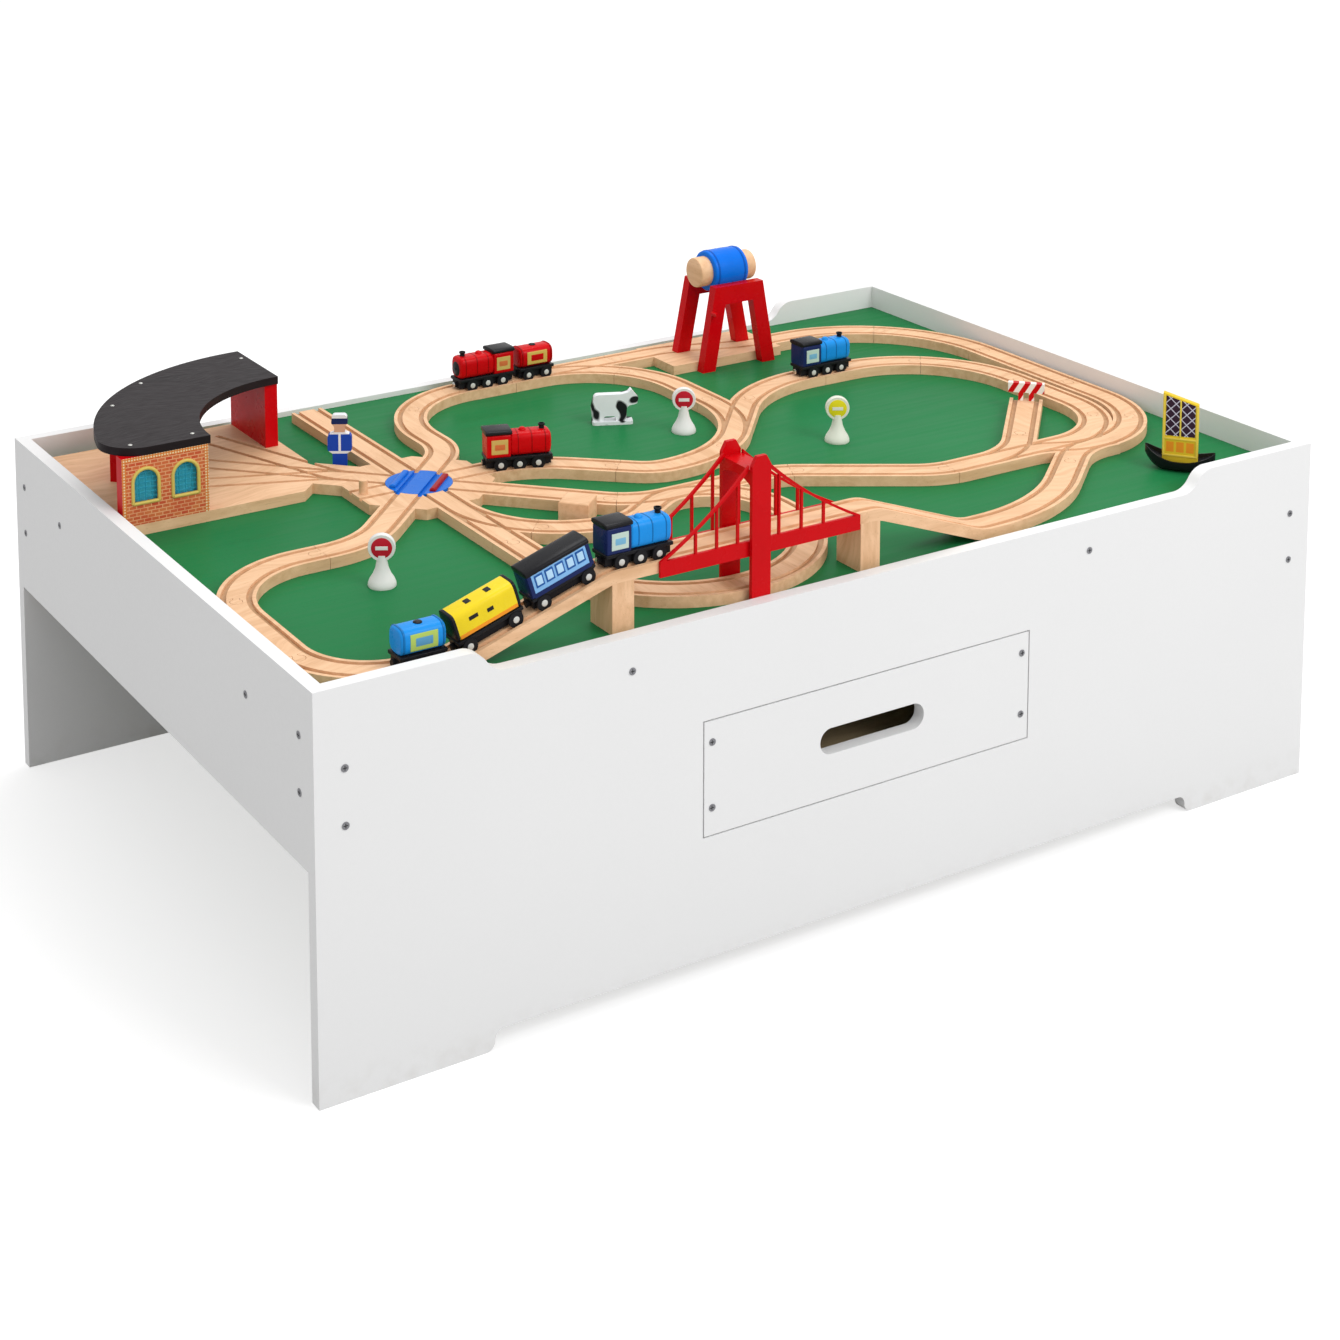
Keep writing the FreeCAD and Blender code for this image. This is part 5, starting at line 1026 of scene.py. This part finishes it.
    def slab(self, half: float, heights: tuple[float, float, float], thick: float) -> Grid:
        """Upright slab with a top edge that slopes from left to right and rounded edges.

        Args:
            half: half width.
            heights: of the foot, the left top corner and the right top corner.
            thick: half thickness.

        Returns:
            Array (rings, points, 3).
        """
        low, left, right = heights
        slab = block((-half, half), (-thick, thick), (low, left), 1.0, 14.0, 48, 4)
        share = (slab[..., 0] + half) / (2 * half)
        slab[..., 2] -= (slab[..., 2] - low) / (left - low) * (left - right) * share
        return slab


@dataclass
class Studio:
    """Camera, lamps, world and floor."""

    location: tuple[float, float, float] = (-1.53014, -2.30073, 1.35892)
    azimuth: float = -30.54
    elevation: float = 7.38
    roll: float = -0.32
    lens: float = 66.28
    shift: Pair = (0.1070, -0.5549)
    ambient: float = 0.85

    def camera(self) -> None:
        """Camera solved from the panels' corners: level lens, its view moved by the shift."""
        a, e, r = (math.radians(v) for v in (self.azimuth, self.elevation, self.roll))
        back = Vector((math.sin(a) * math.cos(e), -math.cos(a) * math.cos(e), math.sin(e)))
        right = Vector((0.0, 0.0, 1.0)).cross(back).normalized()
        up = back.cross(right)
        turned_right = math.cos(r) * right + math.sin(r) * up
        turned_up = -math.sin(r) * right + math.cos(r) * up
        data = bpy.data.cameras.new("camera")
        data.lens, data.sensor_width = self.lens, 36.0
        data.shift_x, data.shift_y = self.shift
        data.clip_end = 60.0
        camera = bpy.data.objects.new("camera", data)
        columns = (turned_right, turned_up, back)
        rows = [(*(c[i] for c in columns), self.location[i]) for i in range(3)]
        camera.matrix_world = Matrix((*rows, (0.0, 0.0, 0.0, 1.0)))
        bpy.context.scene.collection.objects.link(camera)
        bpy.context.scene.camera = camera

    def lamp(self, name: str, place: Sequence[float], size: float, power: float) -> None:
        """Square lamp that faces the table."""
        data = bpy.data.lights.new(name, "AREA")
        data.size, data.energy = size, power
        lamp = bpy.data.objects.new(name, data)
        lamp.location = place
        lamp.rotation_euler = (Vector((0.0, 0.0, 0.3)) - Vector(place)).to_track_quat("-Z", "Y").to_euler()
        bpy.context.scene.collection.objects.link(lamp)

    def seen(self, tree: bpy.types.NodeTree) -> Socket:
        """Mask of the rays that show the background."""
        return tree.nodes.new("ShaderNodeLightPath").outputs["Is Camera Ray"]

    def world(self) -> None:
        """White where it is seen, and an even soft light elsewhere."""
        world = bpy.data.worlds.new("studio")
        world.use_nodes = True
        tree = world.node_tree
        ground = tree.nodes["Background"]
        ground.inputs["Color"].default_value = (1.0, 1.0, 1.0, 1.0)
        node = tree.nodes.new("ShaderNodeMapRange")
        tree.links.new(self.seen(tree), node.inputs["Value"])
        node.inputs["To Min"].default_value = self.ambient
        node.inputs["To Max"].default_value = 1.0
        tree.links.new(node.outputs[0], ground.inputs["Strength"])
        bpy.context.scene.world = world

    def floor(self) -> None:
        """Pale floor that nearly vanishes into the background but keeps the shadow."""
        mesh = bpy.data.meshes.new("floor")
        r = 14.0
        mesh.from_pydata([(-r, -r, 0.0), (r, -r, 0.0), (r, r, 0.0), (-r, r, 0.0)], [], [(0, 1, 2, 3)])
        floor = bpy.data.objects.new("floor", mesh)
        bpy.context.scene.collection.objects.link(floor)
        graph = Graph("floor_pale")
        tone = graph.noise(1.5)
        graph.set("Base Color", graph.blend(tone, (0.50, 0.50, 0.50), (0.52, 0.52, 0.52)))
        graph.set("Roughness", 0.9)
        graph.set("Emission Color", (1.0, 1.0, 1.0))
        graph.set("Emission Strength", graph.math("MULTIPLY", self.seen(graph.material.node_tree), 0.60))
        mesh.materials.append(graph.material)

    def build(self) -> None:
        """Everything round the object."""
        self.camera()
        self.world()
        self.lamp("key", (1.2, -3.4, 3.2), 2.2, 86.0)
        self.lamp("fill", (-3.0, -1.2, 2.4), 2.4, 4.0)
        self.lamp("top", (0.6, 0.9, 3.4), 1.8, 32.0)
        self.floor()
        bpy.context.scene.view_settings.view_transform = "Standard"


RED_ENGINE = Livery(RED, RED, (0.60, 0.42, 0.12), (0.62, 0.16, 0.05), "engine_red")
RED_TENDER = Livery(RED, RED, (0.66, 0.44, 0.10), RED, "engine_red")
BLUE_ENGINE = Livery(SKY, NAVY, PALE, (0.18, 0.42, 0.60), "engine_blue")
BLUE_TENDER = Livery(SKY, NAVY, (0.42, 0.55, 0.12), (0.10, 0.30, 0.50), "engine_blue")
STRIPED_COACH = Livery(PALE_BLUE, NAVY, (0.02, 0.10, 0.34), (0.44, 0.66, 0.86), "coach_blue")
YELLOW_CAR = Livery(YELLOW, INK, (0.02, 0.02, 0.02), ORANGE, "car_yellow")

FLEET: tuple[tuple[str, Kind, Spot, Livery], ...] = (
    ("ring_engine", Kind.ENGINE, Spot(-0.042, 0.338, 0.3793, 180.0), RED_ENGINE),
    ("ring_tender", Kind.TENDER, Spot(0.031, 0.338, 0.3793, 180.0), RED_TENDER),
    ("yard_engine", Kind.ENGINE, Spot(-0.15451, 0.05925, 0.3793, -17.0), RED_ENGINE),
    ("blue_engine", Kind.ENGINE, Spot(0.355, 0.156, 0.3793, 0.0), BLUE_ENGINE),
    ("bridge_engine", Kind.ENGINE, Spot(-0.266, -0.356, 0.4313), BLUE_ENGINE),
    ("last_tender", Kind.TENDER, Spot(-0.505, -0.356, 0.3793), BLUE_TENDER),
    ("striped_coach", Kind.COACH, Spot(-0.348199, -0.356, 0.417153, 0.0, 17.247), STRIPED_COACH),
    ("yellow_car", Kind.CAR, Spot(-0.429199, -0.356, 0.392045, 0.0, 17.247), YELLOW_CAR),
)


def main() -> None:
    """Build the looks of every sub-assembly round the frame."""
    logging.basicConfig(level=logging.INFO, format="%(message)s")
    shop = Shop()
    Studio().build()
    table = Table(shop)
    table.dress()
    table.build()
    Railway(shop).dress()
    buildings = Buildings(shop)
    buildings.dress()
    buildings.build()
    for name, kind, spot, livery in FLEET:
        Vehicle(shop, name, kind, spot, livery).build()
    SmallPieces(shop).build()
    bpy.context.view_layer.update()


if __name__ == "__main__":
    main()
